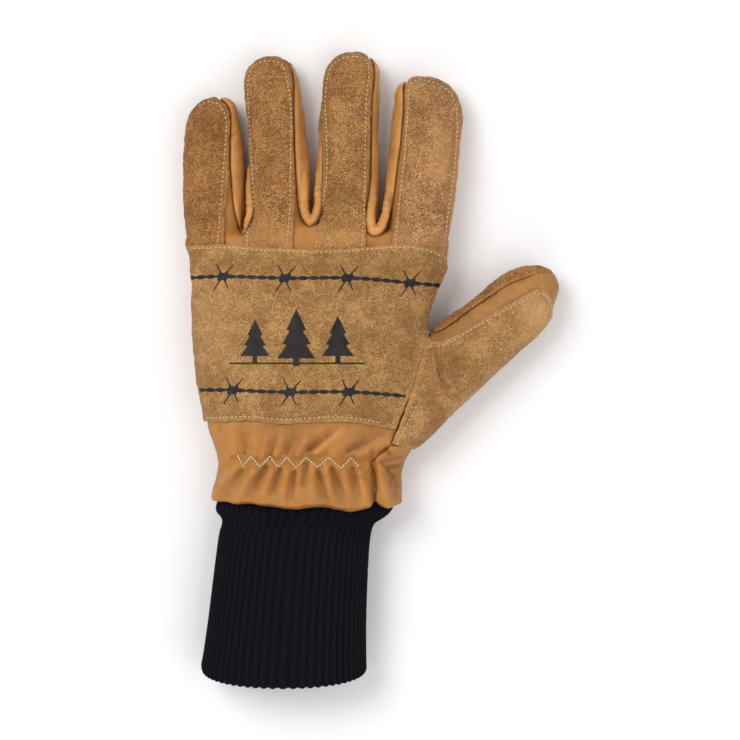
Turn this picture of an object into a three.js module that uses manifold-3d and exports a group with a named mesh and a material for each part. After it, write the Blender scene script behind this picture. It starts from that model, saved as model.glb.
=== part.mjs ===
// A forestry work glove for the left hand, lying on its palm with the back of the hand up.
// Millimetres, +Z up, +Y towards the fingertips, +X towards the thumb.
// The hand form is a set of lofts. The same form at other offsets gives the leather wall,
// the suede panels sewn on it, and the hollow inside. Outlines seen from above cut it into panels.
import * as THREE from 'three';
import { mergeVertices } from 'three/addons/utils/BufferGeometryUtils.js';
import Module from 'manifold-3d';

const wasm = await Module();
wasm.setup();

// Leather and suede
const WALL = 1.6;
const SUEDE = 1.3;
const GAP = 0.3;
const BULGE = 0.5;

// Fineness of the lofts: sides round a digit, and over the top and base of the hand and wrist.
const FINE = { digit: 14, hand: { top: 20, base: 8 }, wrist: { top: 32, base: 8 } };
const COARSE = { digit: 10, hand: { top: 12, base: 6 }, wrist: { top: 32, base: 6 } };
const TIP_TURNS = [34, 64].map(THREE.MathUtils.degToRad);
const BIG = 400;
// The form runs on below the table by this much, and is cut flat where it lies on it.
const UNDER = 0.8;

// The fingers, seen from above and from the side, from inside the palm to the tip.
// y along the hand, x the middle of the finger, width across it, high the top above the table.
const FINGERS = {
  pinky: {
    tip: 117.8,
    round: 12,
    rows: [
      { y: 46, x: -43.0, width: 23.0, high: 22.0 },
      { y: 59, x: -45.0, width: 25.8, high: 22.0 },
      { y: 75, x: -45.8, width: 26.0, high: 21.5 },
      { y: 92, x: -46.0, width: 26.0, high: 20.5 },
      { y: 106, x: -45.6, width: 25.4, high: 19.5 },
      { y: 118, x: -44.8, width: 24.0, high: 18.0 },
    ],
  },
  ring: {
    tip: 135.9,
    round: 13,
    rows: [
      { y: 46, x: -17.4, width: 24.5, high: 25.0 },
      { y: 62, x: -16.8, width: 26.4, high: 24.5 },
      { y: 80, x: -17.4, width: 26.2, high: 23.5 },
      { y: 98, x: -18.6, width: 25.6, high: 22.0 },
      { y: 116, x: -20.3, width: 24.7, high: 20.5 },
      { y: 136, x: -20.6, width: 23.4, high: 19.0 },
    ],
  },
  middle: {
    tip: 137.2,
    round: 13,
    rows: [
      { y: 46, x: 12.0, width: 25.0, high: 26.0 },
      { y: 62, x: 12.0, width: 26.2, high: 25.5 },
      { y: 80, x: 11.9, width: 26.6, high: 24.0 },
      { y: 98, x: 12.0, width: 26.0, high: 22.5 },
      { y: 116, x: 13.2, width: 24.9, high: 21.0 },
      { y: 137, x: 14.6, width: 24.0, high: 19.5 },
    ],
  },
  index: {
    tip: 126.9,
    round: 13,
    rows: [
      { y: 46, x: 39.6, width: 26.5, high: 25.0 },
      { y: 62, x: 41.2, width: 28.6, high: 24.5 },
      { y: 78, x: 42.7, width: 30.2, high: 23.5 },
      { y: 94, x: 44.4, width: 30.6, high: 22.5 },
      { y: 109, x: 45.4, width: 29.6, high: 21.0 },
      { y: 127, x: 43.4, width: 27.0, high: 19.5 },
    ],
  },
};

// The thumb in its own line: along from the palm to the tip, side to the left of that line.
const THUMB = { x: 34.4, y: -15.0, turn: THREE.MathUtils.degToRad(42.2), tip: 85.6, round: 18 };
const THUMB_ROWS = [
  { along: -17, side: -6.0, width: 22.0, low: 4.0, high: 27.0 },
  { along: 0, side: -4.3, width: 27.5, low: 3.2, high: 28.0 },
  { along: 17, side: -2.6, width: 30.2, low: 2.8, high: 28.0 },
  { along: 34, side: -0.9, width: 32.2, low: 2.6, high: 27.0 },
  { along: 50, side: -1.5, width: 31.2, low: 2.8, high: 25.5 },
  { along: 66, side: -1.5, width: 29.8, low: 3.2, high: 24.0 },
  { along: 86, side: -1.4, width: 27.0, low: 4.0, high: 22.5 },
];

// The drawn-in wrist from the hem to the back panel.
// gather is the depth of the folds on the back, wave how far the hem runs in and out.
const WRIST_ROWS = [
  { y: -60.0, x: -5.6, width: 76.5, high: 32.0, gather: 0.8, wave: 1.2 },
  { y: -56.5, x: -5.9, width: 80.2, high: 35.0, gather: 1.1, wave: 0.8 },
  { y: -49.5, x: -5.5, width: 81.0, high: 35.2, gather: 1.2, wave: 0 },
  { y: -40.5, x: -4.2, width: 79.2, high: 31.5, gather: 0.9, wave: 0 },
  { y: -33.0, x: -4.9, width: 80.6, high: 33.0, gather: 0.9, wave: 0 },
  { y: -25.5, x: -6.2, width: 84.0, high: 34.5, gather: 0, wave: 0 },
];
// The hand from there to the finger roots. Its first row is drawn in, inside the wrist.
const HAND_ROWS = [
  { y: -30.5, x: -6.2, width: 76.0, high: 30.5, gather: 0, wave: 0 },
  { y: -25.5, x: -6.2, width: 84.0, high: 34.5, gather: 0, wave: 0 },
  { y: -10, x: -6.3, width: 91.0, high: 35.4, gather: 0, wave: 0 },
  { y: 8, x: -5.2, width: 98.4, high: 35.2, gather: 0, wave: 0 },
  { y: 26, x: -3.3, width: 103.6, high: 33.2, gather: 0, wave: 0 },
  { y: 42, x: -1.6, width: 109.4, high: 30.0, gather: 0, wave: 0 },
  { y: 52, x: -1.0, width: 111.4, high: 27.6, gather: 0, wave: 0 },
  { y: 58, x: -1.2, width: 110.2, high: 25.2, gather: 0, wave: 0 },
  { y: 61.5, x: -1.4, width: 104.0, high: 20.5, gather: 0, wave: 0 },
];
const FOLD_PITCH = 7.7;
const FOLD_START = -36;
const WAVE_PITCH = 8.5;
const WAVE_UNDERNEATH = 0.3;
const MOUTH_RUN = 6;

// Outlines of the suede from above: the edges of each finger strip, from the root to the tip.
const STRIPS = {
  pinky: [
    { y: 54, left: -80, right: -40.4 },
    { y: 76, left: -80, right: -39.8 },
    { y: 94, left: -80, right: -38.5 },
    { y: 105, left: -80, right: -38.1 },
    { y: 114, left: -80, right: -39.8 },
    { y: 125, left: -80, right: -41.5 },
  ],
  ring: [
    { y: 53, left: -31.2, right: -10.9 },
    { y: 70, left: -28.2, right: -10.4 },
    { y: 83, left: -29.3, right: -10.7 },
    { y: 104, left: -30.8, right: -11.2 },
    { y: 118, left: -34, right: -11.7 },
    { y: 132, left: -36, right: -12.6 },
    { y: 143, left: -36, right: -13.0 },
  ],
  middle: [
    { y: 52, left: -1.7, right: 19.8 },
    { y: 71, left: 0.6, right: 19.9 },
    { y: 89, left: 2.5, right: 21.2 },
    { y: 108, left: 1.8, right: 22.1 },
    { y: 122, left: -1, right: 22.4 },
    { y: 134, left: -3, right: 21.9 },
    { y: 144, left: -3, right: 21.5 },
  ],
  index: [
    { y: 53, left: 30.8, right: 53.6 },
    { y: 73, left: 33.2, right: 56.2 },
    { y: 92, left: 35.2, right: 58.7 },
    { y: 111, left: 36.5, right: 61.1 },
    { y: 120, left: 35.4, right: 64 },
    { y: 134, left: 34.5, right: 66 },
  ],
};
// The side walls between two fingers fill what the strips leave, from the crotch to near the tips.
const FOURCHETTES = {
  pinky_ring: { left: 'pinky', right: 'ring', crotch: 56.5, leftEnd: 110, rightEnd: 112 },
  ring_middle: { left: 'ring', right: 'middle', crotch: 61.5, leftEnd: 127, rightEnd: 116 },
  middle_index: { left: 'middle', right: 'index', crotch: 59.0, leftEnd: 128, rightEnd: 119 },
};
const FOURCHETTE_LOW = 6;
const STRIP_LOW = 8;

// The panel on the back of the hand and the thumb's panels, as corners from above.
const BACK_PATCH_TOP = [[-80, 54.6], [-56.4, 54.0], [-30.1, 51.8], [-14.6, 50.8], [3, 50.4], [31.4, 53.4],
  [52.9, 51.4], [57.5, 49.5]];
const BACK_PATCH_FOOT = [[-80, -20.5], [-50.3, -21.9], [-26.2, -22.8], [-10.8, -21.2], [12, -22.8],
  [32.2, -25.4], [75, -28]];
const THUMB_SEAM = [[33.1, -24.9], [40.4, -6], [44.7, 10.3]];
const THUMB_CROTCH = [[47.6, 18], [52.5, 30], [120, 62]];
const THUMB_FOOT = [30.5, -30.5];
const THUMB_PATCH_FOOT = [[110, -33], [40, -33.1]];
const PATCH_LOW = 17;
const THUMB_PATCH_TOP = [[44.7, 10.3], [49, 12], [57.2, 15], [70.1, 22.8], [82.6, 29.7], [93.7, 35.6],
  [97.4, 34], [99.6, 30.1], [100.6, 24], [103, 12]];
const THUMB_BAND_TOP = [[44, 16], [51.6, 20.6], [63.6, 26.6], [76.1, 34.4], [85.6, 39.4], [93.7, 41.4],
  [99.7, 40.6], [108, 34]];
const THUMB_PATCH_LOW = 9;
const THUMB_FRONT_LEVEL = 7.5;
const THUMB_FRONT_START = 30;
const THUMB_FRONT_LEFT = 52.4;

// Height of the seam between the back and the palm along the hand, and the wrist's side seam.
const SIDE_SEAM = [{ y: -90, z: 15 }, { y: 36, z: 14 }, { y: 60, z: 9.5 }, { y: 160, z: 9 }];
const WRIST_SEAM = [[24.5, -90], [24.5, -38], [29.5, -31.5], [70, -31.5], [70, -90]];
const THUMB_SPLIT = 13;

// The knit cuff: a double rib tube, tucked into the hem at its top.
const CUFF_WALL = 2.4;
const RIBS = 40;
const RIB_DEPTH = 0.6;
const POINTS_PER_RIB = 2;
const CUFF_INSIDE_SIDES = 24;
const CUFF_TOP_POWER = 2.2;
const CUFF_BASE_POWER = 2.7;
const CUFF_ROWS = [
  { y: -52, x: -5.8, width: 74.0, high: 28.5, low: 3.2 },
  { y: -59.5, x: -6.4, width: 71.0, high: 28.2, low: 2.6 },
  { y: -65.5, x: -8.8, width: 67.0, high: 31.0, low: 0.8 },
  { y: -77.0, x: -11.6, width: 66.2, high: 33.0, low: -0.6 },
  { y: -105, x: -13.9, width: 68.0, high: 34.0, low: -0.6 },
  { y: -135, x: -15.4, width: 71.0, high: 34.5, low: -0.6 },
  { y: -137, x: -15.4, width: 69.0, high: 33.4, low: 0.4 },
];

const MATERIALS = {
  suede: { color: 0xb4885a, roughness: 0.95, metalness: 0 },
  grain: { color: 0xbd7f43, roughness: 0.5, metalness: 0 },
  knit: { color: 0x17151a, roughness: 0.95, metalness: 0 },
};

// Geometry helpers

function solidFrom(geometry) {
  const bare = geometry.clone();
  bare.deleteAttribute('normal');
  bare.deleteAttribute('uv');
  const merged = mergeVertices(bare, 1e-4);
  return new wasm.Manifold(new wasm.Mesh({
    numProp: 3,
    vertProperties: merged.attributes.position.array,
    triVerts: new Uint32Array(merged.index.array),
  }));
}

function geometryFrom(solid) {
  const mesh = solid.getMesh();
  const geometry = new THREE.BufferGeometry();
  const positions = new Float32Array(mesh.numVert * 3);
  for (let i = 0; i < mesh.numVert; i += 1) {
    positions.set(mesh.vertProperties.subarray(i * mesh.numProp, i * mesh.numProp + 3), i * 3);
  }
  geometry.setAttribute('position', new THREE.BufferAttribute(positions, 3));
  geometry.setIndex(new THREE.BufferAttribute(mesh.triVerts, 1));
  geometry.computeVertexNormals();
  return geometry;
}

// Joins rings of points, all with the same count and turning the same way, into one closed solid.
// It ends in a point of its own when one is given.
function loft(rings, point) {
  const count = rings[0].length;
  const points = rings.flat();
  const faces = [];
  for (let r = 0; r + 1 < rings.length; r += 1) {
    for (let i = 0; i < count; i += 1) {
      const a = r * count + i;
      const b = r * count + ((i + 1) % count);
      faces.push([a, b, b + count], [a, b + count, a + count]);
    }
  }
  const middle = (ring) => ring.reduce((sum, p) => sum.add(p), new THREE.Vector3()).divideScalar(count);
  const first = points.push(middle(rings[0])) - 1;
  const last = points.push(point ?? middle(rings[rings.length - 1])) - 1;
  const end = (rings.length - 1) * count;
  for (let i = 0; i < count; i += 1) {
    const next = (i + 1) % count;
    faces.push([first, next, i], [last, end + i, end + next]);
  }
  const geometry = new THREE.BufferGeometry().setFromPoints(points);
  geometry.setIndex(faces.flat());
  const solid = solidFrom(geometry);
  return solid.volume() > 0 ? solid : solidFrom(flipped(geometry));
}

function flipped(geometry) {
  const turned = geometry.clone();
  turned.setIndex(Array.from(geometry.index.array).reverse());
  return turned;
}

// A solid over an outline seen from above, between two heights.
function prism(corners, low = -BIG, high = BIG) {
  const shape = new THREE.Shape(corners.map(([x, y]) => new THREE.Vector2(x, y)));
  const geometry = new THREE.ExtrudeGeometry(shape, { depth: high - low, bevelEnabled: false, steps: 1 });
  return solidFrom(geometry.translate(0, 0, low));
}

// Everything between two heights.
const levels = (low, high) => prism([[-BIG, -BIG], [BIG, -BIG], [BIG, BIG], [-BIG, BIG]], low, high);

// The value of a table's column at a place between its rows, on a smooth curve through them.
function column(rows, key, at, name) {
  let i = 0;
  while (i < rows.length - 2 && at > rows[i + 1][key]) i += 1;
  const [a, b] = [rows[i], rows[i + 1]];
  const [before, after] = [rows[Math.max(i - 1, 0)], rows[Math.min(i + 2, rows.length - 1)]];
  const run = b[key] - a[key];
  const t = THREE.MathUtils.clamp((at - a[key]) / run, 0, 1);
  const slopeA = before === a ? 0 : ((b[name] - before[name]) / (b[key] - before[key])) * run;
  const slopeB = after === b ? 0 : ((after[name] - a[name]) / (after[key] - a[key])) * run;
  const [t2, t3] = [t * t, t * t * t];
  return (2 * t3 - 3 * t2 + 1) * a[name] + (t3 - 2 * t2 + t) * slopeA
    + (3 * t2 - 2 * t3) * b[name] + (t3 - t2) * slopeB;
}

// One flattened oval section: bottom half squarer than the top, as leather rests on a table.
const TOP_POWER = 2.25;
const BASE_POWER = 2.9;
const WAIST = 0.44;
const TIP_FLATNESS = 0.8;
const SPREAD = 0.24;

function ovalPoint(angle, half, up, down) {
  const [c, s] = [Math.cos(angle), Math.sin(angle)];
  const power = s >= 0 ? TOP_POWER : BASE_POWER;
  const bend = (v) => Math.sign(v) * Math.abs(v) ** (2 / power);
  return { across: half * bend(c), rise: (s >= 0 ? up : down) * bend(s) };
}

// Digits

// Stations along a digit: even steps up to where the tip starts to round, then closer ones.
function stations(start, tip, round, steps) {
  const shoulder = tip - round;
  const straight = Array.from({ length: steps }, (_, i) => start + ((shoulder - start) * i) / (steps - 1));
  return [...straight, ...TIP_TURNS.map((angle) => shoulder + round * Math.sin(angle))];
}

function digit({ start, tip, round, offset, sides, steps, sample, place }) {
  const end = tip + offset;
  const rings = stations(start, end, round, steps).map((at) => {
    const { side, width, low, high } = sample(Math.min(at, tip));
    const into = Math.max(0, (at - (end - round)) / round);
    const shrink = Math.sqrt(Math.max(0, 1 - into * into));
    const waist = low + (high - low) * WAIST;
    const half = (width / 2 + offset) * shrink;
    const up = (high - waist + offset) * shrink ** TIP_FLATNESS;
    const down = (waist - low + offset) * shrink ** TIP_FLATNESS;
    return Array.from({ length: sides }, (_, i) => {
      const { across, rise } = ovalPoint((2 * Math.PI * i) / sides, half, up, down);
      return place(at, side + across, waist + rise);
    });
  });
  const { side, low, high } = sample(tip);
  return loft(rings, place(end, side, low + (high - low) * WAIST));
}

function finger(name, offset, sides) {
  const { rows, tip, round } = FINGERS[name];
  const sample = (y) => ({
    side: column(rows, 'y', y, 'x'),
    width: column(rows, 'y', y, 'width'),
    high: column(rows, 'y', y, 'high'),
    low: -UNDER,
  });
  const place = (y, x, z) => new THREE.Vector3(x, y, z);
  return digit({ start: rows[0].y, tip, round, offset, sides, steps: 5, sample, place });
}

function thumb(offset, sides) {
  const line = new THREE.Vector2(Math.cos(THUMB.turn), Math.sin(THUMB.turn));
  const names = ['side', 'width', 'low', 'high'];
  const sample = (at) => Object.fromEntries(names.map((n) => [n, column(THUMB_ROWS, 'along', at, n)]));
  const place = (along, side, z) => new THREE.Vector3(
    THUMB.x + line.x * along - line.y * side,
    THUMB.y + line.y * along + line.x * side,
    z,
  );
  const { tip, round } = THUMB;
  return digit({ start: THUMB_ROWS[0].along, tip, round, offset, sides, steps: 6, sample, place });
}

// The hand and wrist, with the gathers of the elastic on the back

function foldHeight(x, row) {
  const phase = ((x - FOLD_START) / FOLD_PITCH) * 2 * Math.PI;
  return row.gather * Math.cos(phase);
}

function bodyRing(row, offset, { top: topSides, base: baseSides }) {
  const waist = row.high * WAIST;
  const half = row.width / 2 + offset;
  const angles = [
    ...Array.from({ length: topSides }, (_, i) => (Math.PI * i) / topSides),
    ...Array.from({ length: baseSides }, (_, i) => Math.PI + (Math.PI * i) / baseSides),
  ];
  return angles.map((angle) => {
    const top = angle > 0 && angle < Math.PI;
    // The top's points are spread evenly across, so that each fold gets its share of them.
    const even = top ? angle + SPREAD * Math.sin(2 * angle) : angle;
    const { across, rise } = ovalPoint(even, half, row.high - waist + offset, waist + UNDER + offset);
    const fold = top ? foldHeight(across, row) * Math.sin(angle) ** 0.5 : 0;
    const wave = row.wave * Math.cos(across / WAVE_PITCH) * (top ? 1 : WAVE_UNDERNEATH);
    return new THREE.Vector3(row.x + across, row.y + wave, waist + rise + fold);
  });
}

function wrist(offset, sides, mouthRun) {
  const rows = WRIST_ROWS.map((row, i) => ({ ...row, y: row.y - (i === 0 ? mouthRun : 0) }));
  return loft(rows.map((row) => bodyRing(row, offset, sides)));
}

function hand(offset, sides) {
  const last = HAND_ROWS.length - 1;
  const rows = HAND_ROWS.map((row, i) => ({ ...row, y: row.y + (i === last ? offset : 0) }));
  return loft(rows.map((row) => bodyRing(row, offset, sides)));
}

// The whole hand form, grown or shrunk by an offset. Where it lies on the table it is flat.
function handForm(offset, { mouthRun = 0, floor = -offset, sides = FINE } = {}) {
  const fingers = Object.keys(FINGERS).map((name) => finger(name, offset, sides.digit));
  const digits = [...fingers, thumb(offset, sides.digit)];
  const body = hand(offset, sides.hand).add(wrist(offset, sides.wrist, mouthRun));
  const joined = digits.reduce((sum, each) => sum.add(each), body);
  return joined.intersect(levels(floor, BIG));
}

// Outlines that cut the form into panels

const grown = ([x, y], dx, dy) => [x + dx, y + dy];

function stripOutline(name, grow) {
  const rows = STRIPS[name];
  const left = rows.map(({ y, left: x }) => [x - grow, y]);
  const right = rows.map(({ y, right: x }) => [x + grow, y]);
  return [...right, ...left.reverse()];
}

function fourchetteOutline({ left, right, crotch, leftEnd, rightEnd }, grow) {
  const edge = (rows, side, end, shift) => {
    const inside = rows.filter(({ y }) => y > crotch + 2 && y < end - 2);
    const at = (y) => {
      const i = Math.max(1, rows.findIndex((row) => row.y >= y));
      const [a, b] = [rows[i - 1], rows[i]];
      return a[side] + ((b[side] - a[side]) * (y - a.y)) / (b.y - a.y);
    };
    return [
      [at(crotch) + shift, crotch - grow],
      ...inside.map((row) => [row[side] + shift, row.y]),
      [at(end) + shift, end + grow],
    ];
  };
  const near = edge(STRIPS[left], 'right', leftEnd, -grow);
  const far = edge(STRIPS[right], 'left', rightEnd, grow);
  // The two tops meet in the open space between the fingers.
  const middle = (near[near.length - 1][0] + far[far.length - 1][0]) / 2;
  return [...far, [middle + 2, rightEnd + grow], [middle, leftEnd + grow], ...near.reverse()];
}

function thumbZone(grow) {
  return [
    grown(THUMB_FOOT, -grow, -grow),
    grown([120, -31], 0, -grow),
    [120, 62],
    ...THUMB_CROTCH.slice(0, 2).reverse().map((p) => grown(p, -grow, grow)),
    ...[...THUMB_SEAM].reverse().map((p) => grown(p, -grow, 0)),
  ];
}

function lowerSide(rows, gap) {
  const shape = new THREE.Shape([
    new THREE.Vector2(rows[0].y, -BIG),
    new THREE.Vector2(rows[rows.length - 1].y, -BIG),
    ...[...rows].reverse().map(({ y, z }) => new THREE.Vector2(y, z + gap)),
  ]);
  const geometry = new THREE.ExtrudeGeometry(shape, { depth: 2 * BIG, bevelEnabled: false, steps: 1 });
  // The outline is drawn with y across and z up, then stood up to run along x.
  geometry.translate(0, 0, -BIG).rotateX(Math.PI / 2).rotateZ(Math.PI / 2);
  return solidFrom(geometry);
}

// Panels

const outer = handForm(0);
const hollow = handForm(-WALL, { mouthRun: MOUTH_RUN, sides: COARSE });
const shell = outer.subtract(hollow);
const suedeLayer = handForm(GAP + SUEDE, { floor: 0.6 }).subtract(handForm(GAP, { floor: 0 }));

function fourchette(name) {
  const bulged = handForm(BULGE, { floor: 0 }).subtract(handForm(BULGE - WALL, { sides: COARSE }));
  return bulged.intersect(prism(fourchetteOutline(FOURCHETTES[name], 0), FOURCHETTE_LOW, BIG));
}

const fourchetteGaps = Object.values(FOURCHETTES)
  .map((each) => prism(fourchetteOutline(each, GAP), FOURCHETTE_LOW - GAP, BIG))
  .reduce((sum, each) => sum.add(each));

const thumbRoom = prism(thumbZone(0));
const handPart = shell.subtract(prism(thumbZone(GAP))).subtract(fourchetteGaps);
const palmSide = (gap) => lowerSide(SIDE_SEAM, gap).add(prism(WRIST_SEAM.map((p) => grown(p, -gap, gap))));

const strip = (name) => suedeLayer
  .intersect(prism(stripOutline(name, -GAP), STRIP_LOW, BIG))
  .subtract(prism([...BACK_PATCH_TOP, [BIG, -BIG], [-BIG, -BIG]].map((p) => grown(p, 0, GAP))));

const backPatch = suedeLayer
  .intersect(prism([...BACK_PATCH_TOP, ...[...BACK_PATCH_FOOT].reverse()], PATCH_LOW, BIG))
  .subtract(prism(thumbZone(GAP)));

const thumbFrontZone = prism([...THUMB_BAND_TOP, [120, 90], [40, 90]])
  .add(levels(-BIG, THUMB_FRONT_LEVEL));
const pastThumbRoot = prism([[-60, THUMB_FRONT_START], [-60, 0], [60, 0], [60, THUMB_FRONT_START]]
  .map(([side, along]) => [
    THUMB.x + Math.cos(THUMB.turn) * along - Math.sin(THUMB.turn) * side,
    THUMB.y + Math.sin(THUMB.turn) * along + Math.cos(THUMB.turn) * side,
  ]));

const thumbPatch = suedeLayer.intersect(thumbRoom)
  .intersect(prism([...THUMB_PATCH_TOP, ...THUMB_PATCH_FOOT, THUMB_FOOT, ...THUMB_SEAM.slice(0, 2)],
    THUMB_PATCH_LOW, BIG));
const thumbFrontPatch = suedeLayer.intersect(thumbRoom).intersect(thumbFrontZone).subtract(pastThumbRoot)
  .subtract(prism([[-BIG, -BIG], [THUMB_FRONT_LEFT, -BIG], [THUMB_FRONT_LEFT, BIG], [-BIG, BIG]]));

// The cuff

function cuffRing(row, inset, sides) {
  const waist = row.low + (row.high - row.low) * 0.5;
  return Array.from({ length: sides }, (_, i) => {
    const angle = (2 * Math.PI * i) / sides;
    const rib = inset ? 0 : RIB_DEPTH * (Math.cos(angle * RIBS) - 1) * 0.5;
    const half = row.width / 2 - inset + rib;
    const tall = (row.high - row.low) / 2 - inset + rib;
    const [c, s] = [Math.cos(angle), Math.sin(angle)];
    const power = s >= 0 ? CUFF_TOP_POWER : CUFF_BASE_POWER;
    const bend = (v) => Math.sign(v) * Math.abs(v) ** (2 / power);
    return new THREE.Vector3(row.x + half * bend(c), row.y, waist + tall * bend(s));
  });
}

function knitCuff() {
  const outside = loft(CUFF_ROWS.map((row) => cuffRing(row, 0, RIBS * POINTS_PER_RIB)));
  const inside = loft(CUFF_ROWS.map((row, i) => {
    const run = i === 0 ? MOUTH_RUN : i === CUFF_ROWS.length - 1 ? -MOUTH_RUN : 0;
    return cuffRing({ ...row, y: row.y + run }, CUFF_WALL, CUFF_INSIDE_SIDES);
  }));
  return outside.subtract(inside).intersect(levels(0, BIG));
}

// The assembly

const glove = new THREE.Group();
const panels = new THREE.Group();
glove.add(panels);

function add(name, solid, material) {
  const parts = solid.decompose();
  parts.sort((a, b) => b.volume() - a.volume());
  const mesh = new THREE.Mesh(geometryFrom(parts[0]), new THREE.MeshStandardMaterial(MATERIALS[material]));
  mesh.name = name;
  panels.add(mesh);
}

add('palm_leather', handPart.intersect(palmSide(0)), 'grain');
add('back_leather', handPart.subtract(palmSide(GAP)), 'grain');
for (const name of Object.keys(FOURCHETTES)) add(`fourchette_${name}`, fourchette(name), 'grain');
const thumbShell = shell.intersect(thumbRoom);
add('thumb_front_leather', thumbShell.intersect(levels(-BIG, THUMB_SPLIT)), 'grain');
add('thumb_back_leather', thumbShell.intersect(levels(THUMB_SPLIT + GAP, BIG)), 'grain');
for (const name of Object.keys(STRIPS)) add(`${name}_strip`, strip(name), 'suede');
add('back_patch', backPatch, 'suede');
add('thumb_patch', thumbPatch, 'suede');
add('thumb_front_patch', thumbFrontPatch, 'suede');
add('knit_cuff', knitCuff(), 'knit');

// The origin is under the middle of the glove, on the table.
const box = new THREE.Box3().setFromObject(panels);
const centre = box.getCenter(new THREE.Vector3());
panels.position.set(-centre.x, -centre.y, -box.min.z);
glove.updateMatrixWorld(true);

export default glove;
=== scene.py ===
"""A forestry work glove for the left hand, lying on its palm on a pale floor.

The glove's form is a distance field: how far outside the leather each point of a grid is.
Every leather and suede piece is the skin of a layer of that field inside its own outline.
"""

import math
from functools import partial

import bpy
import numpy as np
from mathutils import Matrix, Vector


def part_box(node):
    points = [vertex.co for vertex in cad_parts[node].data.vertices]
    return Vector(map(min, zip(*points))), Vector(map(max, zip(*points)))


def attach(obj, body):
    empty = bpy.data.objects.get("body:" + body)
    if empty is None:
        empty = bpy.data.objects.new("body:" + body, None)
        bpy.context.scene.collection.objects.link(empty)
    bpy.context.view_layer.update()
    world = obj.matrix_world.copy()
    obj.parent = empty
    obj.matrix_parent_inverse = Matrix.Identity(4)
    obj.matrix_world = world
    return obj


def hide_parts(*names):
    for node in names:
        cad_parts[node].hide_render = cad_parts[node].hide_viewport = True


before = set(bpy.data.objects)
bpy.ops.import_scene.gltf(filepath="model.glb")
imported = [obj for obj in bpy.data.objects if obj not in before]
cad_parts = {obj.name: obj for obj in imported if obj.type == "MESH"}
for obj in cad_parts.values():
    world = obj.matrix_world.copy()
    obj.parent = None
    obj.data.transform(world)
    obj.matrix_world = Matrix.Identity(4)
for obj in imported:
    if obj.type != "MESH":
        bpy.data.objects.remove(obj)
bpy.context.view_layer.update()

# Lengths are millimetres in the glove's own plan: +X to the thumb, +Y to the fingertips, +Z up.
MM = 0.001
CUFF_CORNER = (-50.9, -137)
cuff_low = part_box("knit_cuff")[0]
PLAN_SHIFT = np.array([cuff_low.x / MM - CUFF_CORNER[0], cuff_low.y / MM - CUFF_CORNER[1], 0])

# Grid steps of the skins: suede, side walls, the hand's leather and the wrist's, back and palm
FINE_STEP = 0.6
WALL_STEP = 0.5
BASE_STEP = 1.05
WRIST_STEP = 0.6
PALM_WRIST_STEP = WRIST_STEP + 0.1
WRIST_JOIN = -17.0

# Leather
WALL = 2.4
SUEDE = 1.3
GAP = 0.3
EDGE_ROUND = 0.8
STITCH_DIP = 0.35
STITCH_DIP_WIDTH = 0.9
EDGE_WAVER = 0.11
WAVER_TURNS = [(1.15, 0.6), (-0.8, 1.4)]

# Sections
TOP_POWER = 2.25
BASE_POWER = 2.9
WAIST = 0.44
UNDER = 0.8
LEAST_RATIO = 0.05


def table(columns, rows):
    """Rows of numbers as one array for each named column."""
    return dict(zip(columns.split(), np.array(rows, float).T))


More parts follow.
